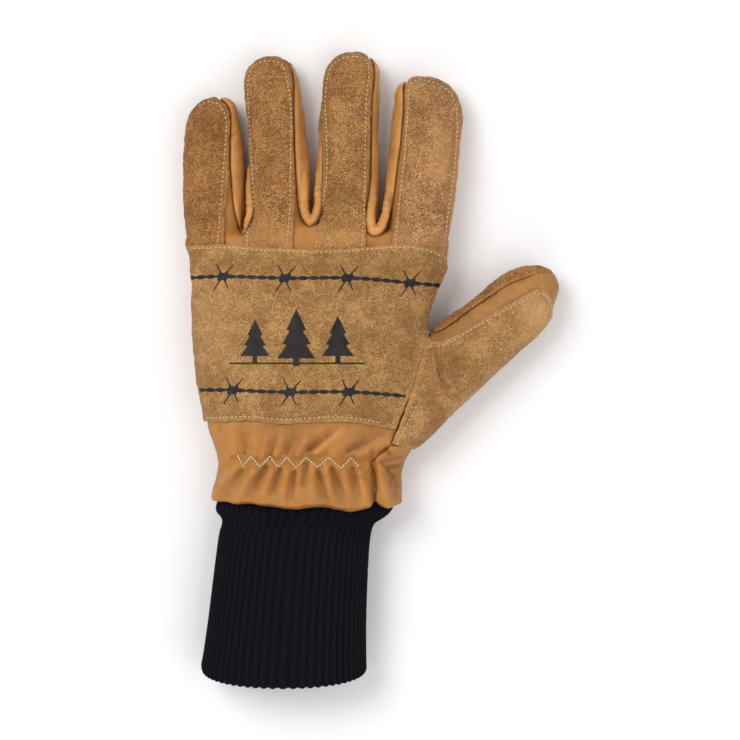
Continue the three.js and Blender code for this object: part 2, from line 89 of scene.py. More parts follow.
FINGERS = {
    "pinky": {
        "tip": 117.2,
        "rows": table("y x width high", [
            (46, -42.6, 22.4, 22), (59, -44.4, 24.6, 22), (75, -45.4, 25, 21.5), (92, -45.5, 24.8, 20.5),
            (102, -45.6, 23.3, 19.8), (108.5, -45.9, 21.2, 19.2), (113, -45.5, 19.8, 18.6),
            (118, -44.7, 19.4, 18),
        ]),
        "strip": table("y left right", [
            (54, -80, -40.6), (70, -80, -39.8), (85, -80, -38.6), (97, -80, -38.5), (106.7, -80, -38.4),
            (111.1, -80, -38.7), (114.2, -80, -39.8), (116, -80, -41.4), (117.4, -80, -43.4),
            (119, -80, -44.8), (122, -80, -45.2),
        ]),
    },
    "ring": {
        "tip": 134.8,
        "rows": table("y x width high", [
            (46, -17.4, 24.5, 25), (62, -16.8, 26.4, 24.5), (80, -17.4, 26.2, 23.5),
            (95, -17.8, 24.6, 22.2), (108, -18.5, 23.2, 21.2), (117, -19.9, 22.8, 20.5),
            (121, -20.3, 22.8, 20.2), (126, -20.9, 21.9, 19.8), (130, -21.3, 21.2, 19.4),
            (136, -20.3, 18.8, 19),
        ]),
        "strip": table("y left right", [
            (52, -32.2, -10.9), (57, -32.4, -10.8), (60, -31.6, -10.7), (62.5, -29.8, -10.6),
            (66, -28.3, -10.5), (70, -27.9, -10.4), (76, -28.6, -10.5), (83, -29.4, -10.7),
            (90, -30.3, -10.9), (97, -31.4, -11.1), (103, -33, -11.3), (118, -36, -11.7),
            (123.5, -36, -11.8), (128.6, -36, -12.6), (132.6, -36, -14), (135, -36, -15.7),
            (137.5, -36, -17.4),
        ]),
    },
    "middle": {
        "tip": 136.9,
        "rows": table("y x width high", [
            (46, 12, 25, 26), (62, 12, 26.2, 25.5), (80, 11.9, 26.6, 24), (98, 12.1, 25.2, 22.5),
            (108, 12.9, 24.2, 21.6), (117, 13.6, 23.4, 21), (125, 14, 22.3, 20.4), (130, 14.2, 21.9, 20),
            (137, 14, 20.4, 19.5),
        ]),
        "strip": table("y left right", [
            (52, -1.7, 19.8), (71, 0.6, 19.9), (80, 1.3, 20.6), (89, 1.2, 21.2), (98, 0.6, 21.7),
            (104, -0.8, 22), (110, -2.5, 22.1), (122, -3, 22.5), (128.6, -3, 22.8), (133, -3, 21.9),
            (136, -3, 20.2), (138.5, -3, 18.5),
        ]),
    },
    "index": {
        "tip": 126.1,
        "rows": table("y x width high", [
            (46, 39.6, 26.5, 25), (62, 41.6, 29.2, 24.5), (78, 43.5, 30.6, 23.5), (94, 45.1, 30.2, 22.5),
            (108, 46, 29.2, 21), (113, 46, 27.8, 20.6), (117, 45.6, 26, 20.2), (121, 44.9, 25, 20),
            (127, 44.4, 22.4, 19.5),
        ]),
        "strip": table("y left right", [
            (53, 30.8, 53.6), (73, 33.2, 56.2), (92, 35.2, 58.7), (108, 36.5, 61), (113, 36.5, 62.2),
            (118, 36.4, 65), (122, 36.4, 66), (125, 37.6, 66), (128, 39.5, 66),
        ]),
    },
}
FINGER_ROUND = 12.0
FINGER_ROOT_RUN = 8.0
TIP_POWER = 2.5

# Bare leather comes out flush with the suede at the tips
TIP_FILL = 1.5
TIP_FILL_START = 10.5
TIP_FILL_RUN = 10.0
BARE_RUN = 0.6
FILL_STARTS_BY_X = table("x y", [
    (-34, 106.7), (-33.8, 124.3), (-5, 124.3), (-4, 126), (28, 126), (29, 115.6), (45, 115.6), (50, 99),
])

# The thumb's line in the plan, and its sections along that line. side is to the left of the line.
THUMB_X = 34.4
THUMB_Y = -15.0
THUMB_TURN = math.radians(42.2)
THUMB_TIP = 86.2
THUMB_ROUND = 16.0
THUMB_ROWS = table("along side width low high", [
    (-17, -6, 22, 4, 27), (0, -3.9, 26, 3.2, 28), (17, -2.1, 27.8, 2.8, 28), (34, -0.9, 29.4, 2.6, 27),
    (50, -1.8, 28.2, 2.8, 25.5), (59, -2.1, 27.2, 3, 24.8), (66, -2.2, 26.6, 3.2, 24),
    (72, -2.1, 25.2, 3.4, 23.6), (79, -1.8, 23.4, 3.7, 23), (86, -1.8, 21.8, 4, 22.5),
])

# The hand from the hem of the wrist to the finger roots
BODY = table("y x width high", [
    (-60, -5.6, 80.5, 33), (-56.5, -5.7, 82, 35), (-49.5, -5.1, 80.6, 35.2), (-40.5, -4.5, 79, 30.5),
    (-33, -5.4, 79.4, 33.5), (-25.5, -5.9, 83, 35.2), (-10, -5.6, 89.4, 35.6), (8, -4.5, 97, 35.2),
    (26, -3.6, 99.8, 33.2), (42, -1.3, 107.2, 30), (52, -0.3, 109.2, 28), (62, -0.6, 108, 25.5),
])
FRONT = table("x y", [
    (-58, 62), (-32, 62.5), (-14, 64), (-4, 66.3), (8, 65), (24, 63), (42, 62.5), (58, 61),
])
FRONT_ROUND = 5.5
HEM = table("x y", [
    (-50, -56.8), (-45.6, -57.4), (-31.8, -57.2), (-22.8, -57.9), (-10.7, -59.2), (-2.8, -58),
    (4.3, -58.5), (13.3, -60.4), (22.4, -58.4), (24, -57.6), (28.4, -59.6), (34.4, -58.9), (40, -57.8),
])
HEM_ROUND = 3.0
KNUCKLE_BLEND = 5.0
THUMB_BLEND = 7.0
FINGER_REACH = 22.0
FINGERS_FROM = 30.0
THUMB_FROM = 20.0
LEAST_SLOPE = 0.3

# Folds of the leather, as ridges from one place in the plan to another. A valley has a height below 0.
# A fold that leans above 0 is steeper on the left of its line, and one below 0 on the right. One that fans
# starts narrow and fades out wide.
FOLDS = table("x0 y0 x1 y1 width height lean fan", [
    # Above the elastic
    (-38.5, -37.7, -45.4, -24.2, 1.2, 0.6, 0, 1), (-36.5, -34.7, -37.5, -22.8, 2.4, 0.7, 0, 1),
    (-31.5, -34.6, -32.5, -23.8, 1.8, -0.8, -0.45, 1), (-27.5, -35.6, -27.5, -22.8, 2.4, 1, 0, 1),
    (-24.5, -36.6, -21.5, -24.8, 1.5, 0.7, 0, 1), (-21, -36.6, -18.5, -26.7, 1.6, -0.8, -0.45, 1),
    (-18.5, -35.6, -14.5, -24.8, 2.2, 1, 0, 1), (-13.5, -34.6, -10.5, -24.8, 1.5, -0.9, -0.45, 1),
    (-9.5, -35.1, -4, -25.2, 2, 0.8, 0, 1), (-4, -33.1, 7, -23.8, 1.5, -1.4, -0.45, 1),
    (-1.5, -34.6, 11, -24.2, 2.4, 1.3, 0, 1), (6, -34.6, 20, -24.2, 3.2, 0.8, 0, 1),
    (13, -33.6, 28, -25.2, 1.6, -1.1, -0.45, 1), (17, -35.6, 30, -28.2, 2.2, 1, 0, 1),
    (29.5, -31.4, 24.5, -36, 0.8, -0.9, 0, 0), (27.5, -32.7, 31.5, -36, 0.7, -0.7, 0, 0),
    # Below the elastic
    (-39.5, -42.2, -44.5, -51.7, 0.9, 0.7, 0, 1), (-36, -40.5, -45, -53.2, 2.4, 0.8, 0, 1),
    (-32.9, -42.3, -40.8, -49.4, 1.5, -1.1, 0.45, 1), (-28, -41.5, -36, -54.2, 2.6, 1.2, 0, 1),
    (-22.7, -41, -29.6, -52, 1.5, -1.4, 0.45, 1), (-20, -41.5, -24.5, -54.2, 2.4, 1.2, 0, 1),
    (-16.4, -41.7, -20, -51.2, 1.4, -1.3, 0.45, 1), (-13.6, -41.5, -16, -55.2, 2.2, 1.1, 0, 1),
    (-10.2, -42.7, -11.8, -53.2, 1.3, -1.2, 0.45, 1), (-8, -42.5, -9, -56.2, 2.2, 0.9, 0, 1),
    (-5.2, -39.2, -7.2, -47.2, 1.3, -0.9, 0.45, 1), (-3, -40.5, -3, -56.2, 2.4, 1.2, 0, 1),
    (0, -42.3, 3.3, -54.2, 1.3, -1.2, 0.45, 1), (3, -40.5, 6.5, -56.2, 2.2, 1.1, 0, 1),
    (6, -41, 9.9, -51.2, 1.4, -1.2, 0.45, 1), (10.5, -41.5, 13.5, -57.2, 2.6, 1.2, 0, 1),
    (14.5, -41, 17.2, -51.2, 1.4, -1.1, 0.45, 1), (17.5, -42.5, 20, -55.2, 2.2, 1, 0, 1),
    # The side seam's crease and the crumples past it
    (22.8, -35.8, 23.6, -63.2, 1.2, -1.7, 0, 0), (17.8, -45.2, 20.4, -56.2, 2, 0.9, 0, 1),
    (25.7, -39.7, 29.7, -57.2, 2.2, 1.4, 0, 0), (25.3, -37.6, 28.6, -40.5, 0.8, -0.7, 0, 0),
    (28.6, -40.5, 31.1, -44.4, 0.8, -0.8, 0, 0), (31.1, -44.4, 29.9, -48.3, 0.8, -0.7, 0, 0),
    (27.3, -38.5, 35, -36, 0.8, -0.7, 0, 0), (29.3, -41.4, 34.4, -39.5, 0.8, -0.7, 0, 0),
    (28.4, -31.3, 30, -35, 0.8, -0.5, 0, 0), (23.8, -34.7, 29.3, -32.8, 0.8, -0.5, 0, 0),
    (31.8, -43.1, 33, -49.2, 0.8, -0.7, 0, 0),
    # The thumb's root
    (47.4, 13, 50.2, -2, 2, 1.1, 0, 0), (49, 1, 54, -14, 2.2, 1, 0, 0),
    (51.3, -0.5, 49.4, 11.6, 2.6, -0.9, 0.5, 0), (54.6, -8.2, 51, 1.2, 2.4, -0.8, 0.5, 0),
    (54.5, 8, 59, -2, 4.4, -1.6, 0, 0), (59, -2, 63, -9, 4.4, -1.1, 0, 0),
    # The crevice between the little and ring fingers
    (-32.2, 68, -33.2, 59, 0.8, -0.9, 0, 0),
    # The ring finger's root
    (-30.5, 60.5, -18, 69, 3.2, 0.8, 0, 0),
    # Creases of the side walls
    (-8.2, 84.8, -4.3, 84.3, 0.6, -0.4, 0, 0), (-8.6, 75, -4.5, 76, 0.6, -0.5, 0, 0),
    (-7.6, 70, -5, 71.5, 0.6, -0.6, 0, 0), (-6.8, 66.8, -5, 68.8, 0.6, -0.5, 0, 0),
    (-1.8, 72, 1, 70.5, 0.6, -0.6, 0, 0), (-2, 75, 1.2, 76, 0.6, -0.5, 0, 0),
    (-2, 80, 1.2, 81, 0.6, -0.4, 0, 0), (19.6, 66, 22.5, 68, 0.6, -0.6, 0, 0),
    (19.8, 70, 22.6, 71.5, 0.6, -0.5, 0, 0), (20.5, 62, 22.2, 63.5, 0.6, -0.6, 0, 0),
    (24, 61, 24.2, 58.5, 0.6, -0.5, 0, 0), (-38.1, 101.4, -33.7, 104.1, 0.7, -0.5, 0, 0),
])

FOLD_TAIL = 0.16
WRIST_FOLD_SCALE = 1.35
WRIST_TOP = -20.0
CREASE_FADE = 0.6
FAN_START = 0.12
FAN_FADE = 0.42
FAN_REACH = (0.65, 0.85)
FOLDS_FROM = 8.0
FOLDS_FULL_BY = 16.0

# Soft changes of tone over the leather, partly its own blotches and partly painted shade and painted light
# of its folds: lighter above 0 and darker below it
TONE_AND_SHADE_SPOTS = table("x y reach_x reach_y amount", [
    (-5, -50, 50, 9, -0.48), (30.5, -41, 6, 8, -0.8), (-20, -29, 20, 8, -0.15), (-4, 57, 60, 5, 0.7),
    (-34, 80, 4, 25, 0.25), (0, 45, 34, 6, -0.5), (38, 43, 14, 7, -0.45), (-46, 20, 12, 18, 0.35),
    (-30, 2, 10, 8, 0.2), (8, -14, 26, 6, -0.45), (-36, -13, 10, 7, 0.1), (36, 0, 8, 18, -0.3),
    (20, 20, 14, 10, -0.15), (58, 3, 9, 8, -0.9), (50, -16, 6, 9, -0.35), (72, 14, 9, 8, -0.15),
    (94, 24, 9, 10, 0.9), (76, 1, 12, 6, 0.35), (62, -14, 8, 6, 0.35), (36, -27, 5, 5, 0.25),
    (-47, 104, 9, 10, -0.6), (-50, 84, 6, 8, 0.25), (-50, 64, 8, 9, -0.4), (-20, 124, 7, 8, -0.35),
    (-26, 100, 5, 8, 0.15), (-20, 90, 9, 9, -0.3), (-26, 63, 6, 4, 0.5), (10, 126, 8, 8, -0.35),
    (10, 100, 8, 10, 0.15), (6, 74, 7, 7, -0.7), (14, 62, 6, 6, 0.1), (44, 112, 7, 9, -0.4),
    (53, 92, 7, 14, 0.6), (42, 80, 6, 8, 0.1), (42, 64, 7, 7, -0.25),
])

# Outlines in the plan
BACK_PATCH_TOP = [
    (-80, 54.4), (-56.4, 54.2), (-49.1, 54.1), (-41.5, 54.2), (-33.8, 53.9), (-28.4, 53.1), (-21.5, 52.8),
    (-12.3, 52.4), (-3.8, 52), (4.6, 52.1), (12.3, 52.4), (20, 53.1), (27.6, 53.9), (35.3, 54.1),
    (43, 53.7), (47.6, 52.7), (52, 51.2), (54.3, 49.4), (55.2, 46),
]
BACK_PATCH_FOOT = [
    (75, -28), (32.3, -24.6), (27, -23.9), (21.8, -22.6), (16.5, -21.6), (9.9, -21), (3.3, -21.5),
    (-5.9, -21.5), (-13.1, -22), (-19, -21.8), (-26.3, -20.8), (-34.2, -20.7), (-40.1, -21),
    (-50.3, -21.2), (-80, -20),
]
THUMB_SEAM = [(33.1, -24.9), (40.4, -6), (44.7, 10.3)]
THUMB_SEAM_GAPS = table("y gap", [(-28, 0.45), (-8, 0.35), (2, -0.1)])
THUMB_SEAM_LIFT = 0.6
THUMB_SEAM_RUN = 3.0
THUMB_CROTCH = [(47.6, 18), (52.5, 30)]
THUMB_FOOT = (30.5, -30.5)
THUMB_ZONE = [THUMB_FOOT, (120, -31), (120, 62), *THUMB_CROTCH[::-1], *THUMB_SEAM[::-1]]
THUMB_PATCH_TOP = [
    (46.3, 15.6), (48.7, 12.4), (52.6, 13), (57.2, 15), (70.1, 22.8), (82.6, 29.7), (93.7, 35.6),
    (97.4, 34), (99.6, 30.1), (100.6, 24), (103, 12),
]
THUMB_PATCH = [*THUMB_PATCH_TOP, (110, -33), (40, -33.1), THUMB_FOOT, *THUMB_SEAM]
THUMB_BAND_TOP = [
    (44, 15), (49.5, 16.9), (54.2, 19.2), (58.6, 22.2), (63.7, 26.2), (70, 30.6), (76.1, 34.6),
    (81.4, 37.8), (87.4, 40.2), (93.4, 42), (97.4, 42.3),
]
THUMB_FRONT_END = [(99.6, 42), (100.8, 44), (101, 90), (40, 90)]
WRIST_SEAM = [
    (22.8, -90), (22.8, -60), (24.1, -49.5), (23.5, -44), (21.8, -38.6), (25.5, -34.8), (30.5, -31),
    (70, -31), (70, -90),
]
PATCH_LOW = 17.0
THUMB_PATCH_LOW = 9.0
THUMB_FRONT_LEVEL = 7.5
THUMB_FRONT_START = 24.0
THUMB_FRONT_LEFT = 48.6
THUMB_SPLIT = 13.0
SIDE_SEAM = table("y z", [(-90, 15), (36, 14), (60, 9.5), (160, 9)])
PATCH_LIFT = 1.0
PATCH_LIFT_RUN = 7.0

# The side walls between the fingers, inside their seams. Each has a rolled edge round the crotch.
FOURCHETTES = {
    "pinky_ring": {
        "seam": [
            (-30, 123), (-45.4, 123), (-43.6, 117.8), (-41.5, 116.1), (-39.9, 114.3), (-38.8, 111.1),
            (-38.5, 106.7), (-38.5, 97), (-38.5, 88), (-37.8, 79.5), (-36.9, 70.7), (-35.5, 64.6),
            (-33.9, 59.8), (-32.6, 58.2), (-31.5, 59.5), (-30, 63.3), (-28.3, 66.8), (-28, 69.8),
            (-28.7, 76.7), (-29.6, 84.8), (-30.4, 90), (-31.4, 97.1), (-31, 108.5),
        ],
        "roll": [
            (-29.4, 93, 9.5), (-30.2, 86, 13), (-30, 78, 16.5), (-29.7, 71, 19.2), (-30, 67.2, 20.2),
            (-30.8, 64.2, 20.4), (-31.4, 61, 19), (-32.2, 57, 15), (-33, 53, 10),
        ],
        "radius": 1.75,
        "low": (-50, 52, 3),
        "high": (-18, 122, 30),
    },
    "ring_middle": {
        "seam": [
            (-4, 140), (-19, 140), (-15.2, 135.8), (-13.4, 132.8), (-11.9, 128.8), (-11.2, 124),
            (-11.3, 117.2), (-11.1, 109.3), (-10.9, 97.1), (-10.3, 84.8), (-9.7, 76), (-8.7, 69),
            (-7.1, 64.6), (-5.4, 62.4), (-3.9, 61.8), (-2.1, 63.2), (-0.3, 65.9), (0.8, 69.8), (1.4, 76),
            (1.5, 84.8), (1.3, 93.5), (1.8, 102.3), (2.1, 111.1), (1.4, 121.6),
        ],
        "roll": [
            (-8.6, 96, 13), (-7.2, 87, 16), (-6.8, 77, 20), (-6.6, 69, 22.5), (-4.6, 64.6, 23.8),
            (-2.2, 65.2, 23.8), (-0.6, 70, 22), (-0.5, 78, 18), (0.2, 87, 13.5), (1.2, 93, 10),
        ],
        "radius": 2.2,
        "low": (-24, 56, 3),
        "high": (8, 141, 30),
    },
    "middle_index": {
        "seam": [
            (30, 141), (16.5, 141), (20.4, 136.8), (22.6, 133.4), (23.4, 128.8), (22.9, 122.5),
            (22.3, 117.2), (22.1, 108.5), (22, 97.1), (21.8, 84.8), (21.1, 76), (20, 69.8), (19.2, 64.6),
            (19.7, 60.9), (21.2, 58.4), (23.3, 57.7), (26, 58.4), (27.9, 60.6), (29.7, 65), (31.3, 71.6),
            (32.4, 79.5), (33.5, 89.2), (34.7, 97.1), (35.4, 105), (36, 112.9), (36, 118.6), (36, 122.2),
            (37.2, 125.2), (39.2, 128.6), (34, 132),
        ],
        "roll": [
            (21.6, 94, 12), (22.6, 84, 16), (22.6, 73, 20), (21.7, 65.2, 22.4), (22.8, 60.6, 23.3),
            (25.4, 60.6, 23.3), (27.6, 65, 22), (29.1, 74, 18.5), (30.6, 84, 14), (32, 91, 10.5),
        ],
        "radius": 2.2,
        "low": (13, 52, 3),
        "high": (44, 141, 30),
    },
}
FOURCHETTE_LOW = 6.0
FOURCHETTE_BULGE = 0.5
SEAM_DIP = 0.6
SEAM_WIDTH = 1.0
SEAM_OVERLAP = 0.1
SEAM_ROUND = 0.3
SIDE_OVERLAP = 0.3
ROLL_END_RADIUS = 0.4
ROLL_BLEND = 1.6
ROLL_WRINKLE = 0.17
ROLL_WRINKLE_TURNS = (1.3, 2.1)

# The knit cuff
CUFF_TOP_POWER = 2.2
CUFF_BASE_POWER = 2.7
CUFF_WALL = 2.4
CUFF_ROWS = table("y x width high low", [
    (-133.1, -15.3, 71, 33.6, 0), (-128, -15.4, 71, 34.5, -0.6), (-105, -13.9, 67.9, 34, -0.6),
    (-77, -11.6, 65.6, 33, -0.6), (-68.8, -10.5, 65.4, 31.8, 0.2), (-64.9, -9.1, 66, 30.6, 0.8),
    (-62.6, -7.4, 70.2, 29.6, 1.4), (-60, -7, 75, 28.8, 2.2), (-57, -6.4, 76.4, 28.5, 2.8),
    (-52, -5.8, 74, 28.5, 3.2),
])
HEM_CURVE = 6.2
HEM_CURVE_START = -116.0
RIBS = 60
RIB_DEPTH = 0.5
KNIT_ROW = 1.25
KNIT_DOT = 0.5
KNIT_RIDGE = 0.08
# Shares of the knit's painted shade, which also pinch the hem: in its furrows, at the holes along them and
# along its rows
KNIT_SHADES = (0.25, 0.85, 0.12)
FURROW_POWER = 1.5
POINTS_PER_RIB = 5
ROWS_PER_STITCH = 3
INNER_ROW = 3.0
INNER_RIBS = 0.6
HEM_STEPS = 7
HEM_BULGE = 1.2
HEM_PINCH = 0.45
CUFF_CLEARANCE = 0.1

# Lines of stitches in the plan, by the piece they hold
STITCH_LINES = {
    "pinky_suede": [
        [
            (-43.5, 53), (-42.9, 62), (-42.2, 71.6), (-41.4, 81.3), (-40.9, 90), (-40.3, 98.8),
            (-40, 105), (-40.5, 109.3), (-42, 112.9), (-44.2, 115.1), (-47.3, 116), (-50.8, 115),
            (-52.8, 113),
        ],
    ],
    "ring_suede": [
        [
            (-30.8, 53), (-30.4, 59.8), (-28.6, 66.3), (-28.2, 73.4), (-28.6, 83), (-29.5, 96.2),
            (-30.4, 109.3), (-30.7, 119.9), (-30.4, 126.9), (-28.9, 130.6), (-25.8, 132.7),
            (-21.4, 133.4), (-17.2, 132.5), (-15.3, 129.5), (-14, 124.3), (-12.6, 116.4), (-12.2, 108.5),
            (-12.4, 93.5), (-12.5, 79.5), (-12.8, 67.2), (-13.9, 52.5),
        ],
    ],
    "middle_suede": [
        [
            (-1.3, 52.5), (-0.9, 60.2), (0.5, 67.2), (1.9, 74.2), (3, 81.3), (3.3, 90), (3.1, 100.6),
            (2.6, 111.1), (2.7, 119.9), (3.5, 126.9), (5.1, 131.1), (8.3, 133.9), (12.8, 135.1),
            (17.6, 134.8), (20.2, 132.9), (21.1, 128.6), (20.5, 122.5), (19.8, 114.6), (19.5, 102.3),
            (19.2, 84.8), (19.1, 71.6), (18.6, 62.8), (18, 52.8),
        ],
    ],
    "index_suede": [
        [
            (32.5, 53.5), (33.2, 62), (34.1, 71.6), (35.2, 81.3), (36.2, 90), (37, 100.6), (37.7, 109.3),
            (38.1, 116.4), (38.2, 120.7), (39.1, 123.7), (42, 125.1), (46.2, 124.6), (51.4, 122.9),
            (55.6, 119.7), (58.1, 114.6), (58.9, 108.5), (58.5, 98.8), (57.6, 88.3), (56.5, 79.5),
            (55.3, 71.6), (54.2, 62.8), (53.4, 53),
        ],
    ],
    "back_suede": [
        [
            (-55.4, 53), (-49.1, 52.8), (-41.5, 52.9), (-33.8, 52.7), (-28.4, 51.8), (-21.5, 51.5),
            (-12.3, 51.1), (-3.8, 50.7), (4.6, 50.8), (12.3, 51.2), (20, 52), (27.6, 52.6), (35.3, 52.8),
            (41.5, 52.5), (46.8, 51.4), (52.6, 49.3),
        ],
        [
            (-48, -19.5), (-40.1, -19.3), (-34.2, -18.9), (-26.3, -19.1), (-19, -19.8), (-13.1, -20.2),
            (-5.9, -19.6), (3.3, -19.1), (9.9, -19), (16.5, -19.7), (21.8, -20.6), (27, -21.8),
        ],
    ],
    "thumb_suede": [
        [(44.7, 10), (48.5, 11)],
        [
            (49.8, 10.6), (54.2, 11.7), (58.6, 14.2), (63.7, 17.4), (70, 20.9), (76.3, 24.5),
            (82.6, 28.1), (88.9, 31.3), (92.7, 33), (94.9, 33.4), (96.4, 32.4), (97.9, 30.6), (99, 28.4),
            (99.4, 25.9),
        ],
        [
            (41.5, -14.2), (39.9, -17.5), (37.9, -21.1), (36.2, -24.1), (34.6, -26.7), (33, -29.2),
            (32, -30.8), (34.9, -31.8), (38.9, -32.6),
        ],
    ],
}

# Threads. rounds is how often a line is smoothed.
SEAM_STITCH = {"pitch": 1.98, "length": 1.1, "radius": 0.27, "rounds": 6}
ZIGZAG_STITCH = {"pitch": 1.55, "length": 1.4, "radius": 0.42, "rounds": 1}
SKY = 60.0
ZIGZAG = [
    (-34.7, -35.2), (-32.4, -40), (-28.8, -35.7), (-25.2, -40.3), (-20.8, -35.7), (-17.3, -40.3),
    (-13.6, -36.1), (-9.8, -40.6), (-5.5, -36.1), (-0.7, -40.3), (4.2, -36.1), (9.1, -41), (13.6, -36.3),
    (17.8, -41.5),
]

# Colours, as the eye sees them, from 0 to 255
SUEDE_TONES = {
    "pinky": (142, 99, 55),
    "ring": (147, 104, 60),
    "middle": (148, 107, 62),
    "index": (155, 113, 71),
    "back": (157, 119, 73),
    "thumb": (163, 123, 77),
    "thumb_front": (149, 104, 60),
}
GRAIN_TONES = {
    "body": (174, 118, 58),
    # The side walls are lighter than the body: painted light for their steep faces
    "side": (198, 140, 76),
    "thumb": (170, 121, 65),
}
KNIT_TONE = (12, 10, 15)
THREAD_TONE = (216, 187, 134)
INK_TONE = (25, 21, 20)
FLOOR_TONE = (246, 246, 247)


# Curves and sections

def along(rows, key, name, at):
    """A column's value between its rows, on a smooth curve through them."""
    stations, values = rows[key], rows[name]
    slopes = np.zeros_like(values)
    slopes[1:-1] = (values[2:] - values[:-2]) / (stations[2:] - stations[:-2])
    i = np.clip(np.searchsorted(stations, at) - 1, 0, len(stations) - 2)
    run = stations[i + 1] - stations[i]
    t = np.clip((at - stations[i]) / run, 0, 1)
    return (
        (2 * t**3 - 3 * t**2 + 1) * values[i]
        + (t**3 - 2 * t**2 + t) * run * slopes[i]
        + (3 * t**2 - 2 * t**3) * values[i + 1]
        + (t**3 - t**2) * run * slopes[i + 1]
    )


def places_along(line):
    """How far along a line each of its points lies."""
    return np.concatenate([[0], np.cumsum(np.linalg.norm(np.diff(line, axis=0), axis=1))])


def smooth_line(corners, spacing):
    """Points a spacing apart on a smooth curve through the corners."""
    corners = np.array(corners, float)
    places = places_along(corners)
    at = np.linspace(0, places[-1], max(2, int(round(places[-1] / spacing)) + 1))
    columns = {str(i): corners[:, i] for i in range(corners.shape[1])}
    return np.stack([along({"at": places, **columns}, "at", name, at) for name in columns], axis=1)


def smooth_min(a, b, blend):
    share = np.clip(0.5 + 0.5 * (b - a) / blend, 0, 1)
    return b + (a - b) * share - blend * share * (1 - share)


def smooth_max(a, b, blend):
    return -smooth_min(-a, -b, blend)


def oval(across, rise, half, up, down, top_power=TOP_POWER, base_power=BASE_POWER):
    """1 on the outline of a section, less inside it and more outside."""
    above = rise >= 0
    power = np.where(above, top_power, base_power)
    tall = np.where(above, up, down)
    ratio = (np.abs(across) / half) ** power + (np.abs(rise) / tall) ** power
    return ratio ** (1 / power)


def past(section, across, rise, ends=(), power=2.0):
    """How far a point is past the form, in line with its middle. Each end is a run and its rounding."""
    runs = sum((run / rounding) ** power for run, rounding in ends)
    ratio = (section**power + runs) ** (1 / power)
    away = np.sqrt(across**2 + rise**2 + sum(run for run, _ in ends) ** 2)
    return away * (1 - 1 / np.maximum(ratio, LEAST_RATIO))


# The glove's form

def finger_section(name, y):
    """A finger's middle, half width, waist, and height above and below the waist."""
    rows = FINGERS[name]["rows"]
    high = along(rows, "y", "high", y)
    waist = -UNDER + (high + UNDER) * WAIST
    return along(rows, "y", "x", y), along(rows, "y", "width", y) / 2, waist, high - waist, waist + UNDER


def finger_field(name, x, y, z):
    middle, half, waist, up, down = finger_section(name, y)
    tip_run = np.maximum(y - (FINGERS[name]["tip"] - FINGER_ROUND), 0)
    root_run = np.maximum(FINGERS[name]["rows"]["y"][0] - y, 0)
    across, rise = x - middle, z - waist
    ends = [(tip_run, FINGER_ROUND), (root_run, FINGER_ROOT_RUN)]
    return past(oval(across, rise, half, up, down), across, rise, ends, TIP_POWER)


def thumb_line(x, y):
    """Places in the plan as places along and to the left of the thumb's line."""
    c, s = math.cos(THUMB_TURN), math.sin(THUMB_TURN)
    return (x - THUMB_X) * c + (y - THUMB_Y) * s, (y - THUMB_Y) * c - (x - THUMB_X) * s


def thumb_field(x, y, z):
    at, side = thumb_line(x, y)
    middle, width, low, high = (along(THUMB_ROWS, "along", n, at) for n in ("side", "width", "low", "high"))
    waist = low + (high - low) * WAIST
    tip_run = np.maximum(at - (THUMB_TIP - THUMB_ROUND), 0)
    root_run = np.maximum(THUMB_ROWS["along"][0] - at, 0)
    across, rise = side - middle, z - waist
    section = oval(across, rise, width / 2, high - waist, waist - low)
    return past(section, across, rise, [(tip_run, THUMB_ROUND), (root_run, FINGER_ROOT_RUN)])


def body_field(x, y, z):
    middle, width, high = (along(BODY, "y", n, y) for n in ("x", "width", "high"))
    waist = high * WAIST
    front_run = np.maximum(y - along(FRONT, "x", "y", x) + FRONT_ROUND, 0)
    hem_run = np.maximum(along(HEM, "x", "y", x) + HEM_ROUND - y, 0)
    across, rise = x - middle, z - waist
    section = oval(across, rise, width / 2, high - waist, waist + UNDER)
    return past(section, across, rise, [(front_run, FRONT_ROUND), (hem_run, HEM_ROUND)])


def cuff_field(x, y, z):
    middle, width, high, low = (along(CUFF_ROWS, "y", n, y) for n in ("x", "width", "high", "low"))
    across, rise, tall = x - middle, z - (high + low) / 2, (high - low) / 2
    section = oval(across, rise, width / 2, tall, tall, CUFF_TOP_POWER, CUFF_BASE_POWER)
    return past(section, across, rise)


def line_distance(x, y, x0, y0, x1, y1):
    """Distance from a straight line in the plan, and the share of the way along it."""
    run_x, run_y = x1 - x0, y1 - y0
    share = np.clip(((x - x0) * run_x + (y - y0) * run_y) / (run_x**2 + run_y**2), 0, 1)
    return np.hypot(x - x0 - share * run_x, y - y0 - share * run_y), share


def chain_distance(line, x, y):
    """Distance from a chain of straight lines in the plan."""
    nearest = np.full(np.broadcast(x, y).shape, np.inf)
    for (ax, ay), (bx, by) in zip(line[:-1], line[1:]):
        nearest = np.minimum(nearest, line_distance(x, y, ax, ay, bx, by)[0])
    return nearest


def relief(x, y):
    """Height of the folds over the plain form."""
    total = np.zeros(np.broadcast(x, y).shape)
    for x0, y0, x1, y1, width, height, lean, fan in zip(*FOLDS.values()):
        more_x, more_y = FOLD_TAIL * (x1 - x0), FOLD_TAIL * (y1 - y0)
        near, share = line_distance(x, y, x0 - more_x, y0 - more_y, x1 + more_x, y1 + more_y)
        left = (x1 - x0) * (y - y0) > (y1 - y0) * (x - x0)
        reach = width * np.where(left, 1 - lean, 1 + lean)
        if fan:
            swell = np.clip(share / FAN_START, 0, 1) * (1 - share) ** FAN_FADE
            reach = reach * (FAN_REACH[0] + FAN_REACH[1] * share)
        else:
            swell = np.sin(math.pi * share) ** CREASE_FADE
        scale = WRIST_FOLD_SCALE if y0 < WRIST_TOP else 1.0
        total = total + scale * height * swell * np.exp(-((near / reach) ** 2))
    return total


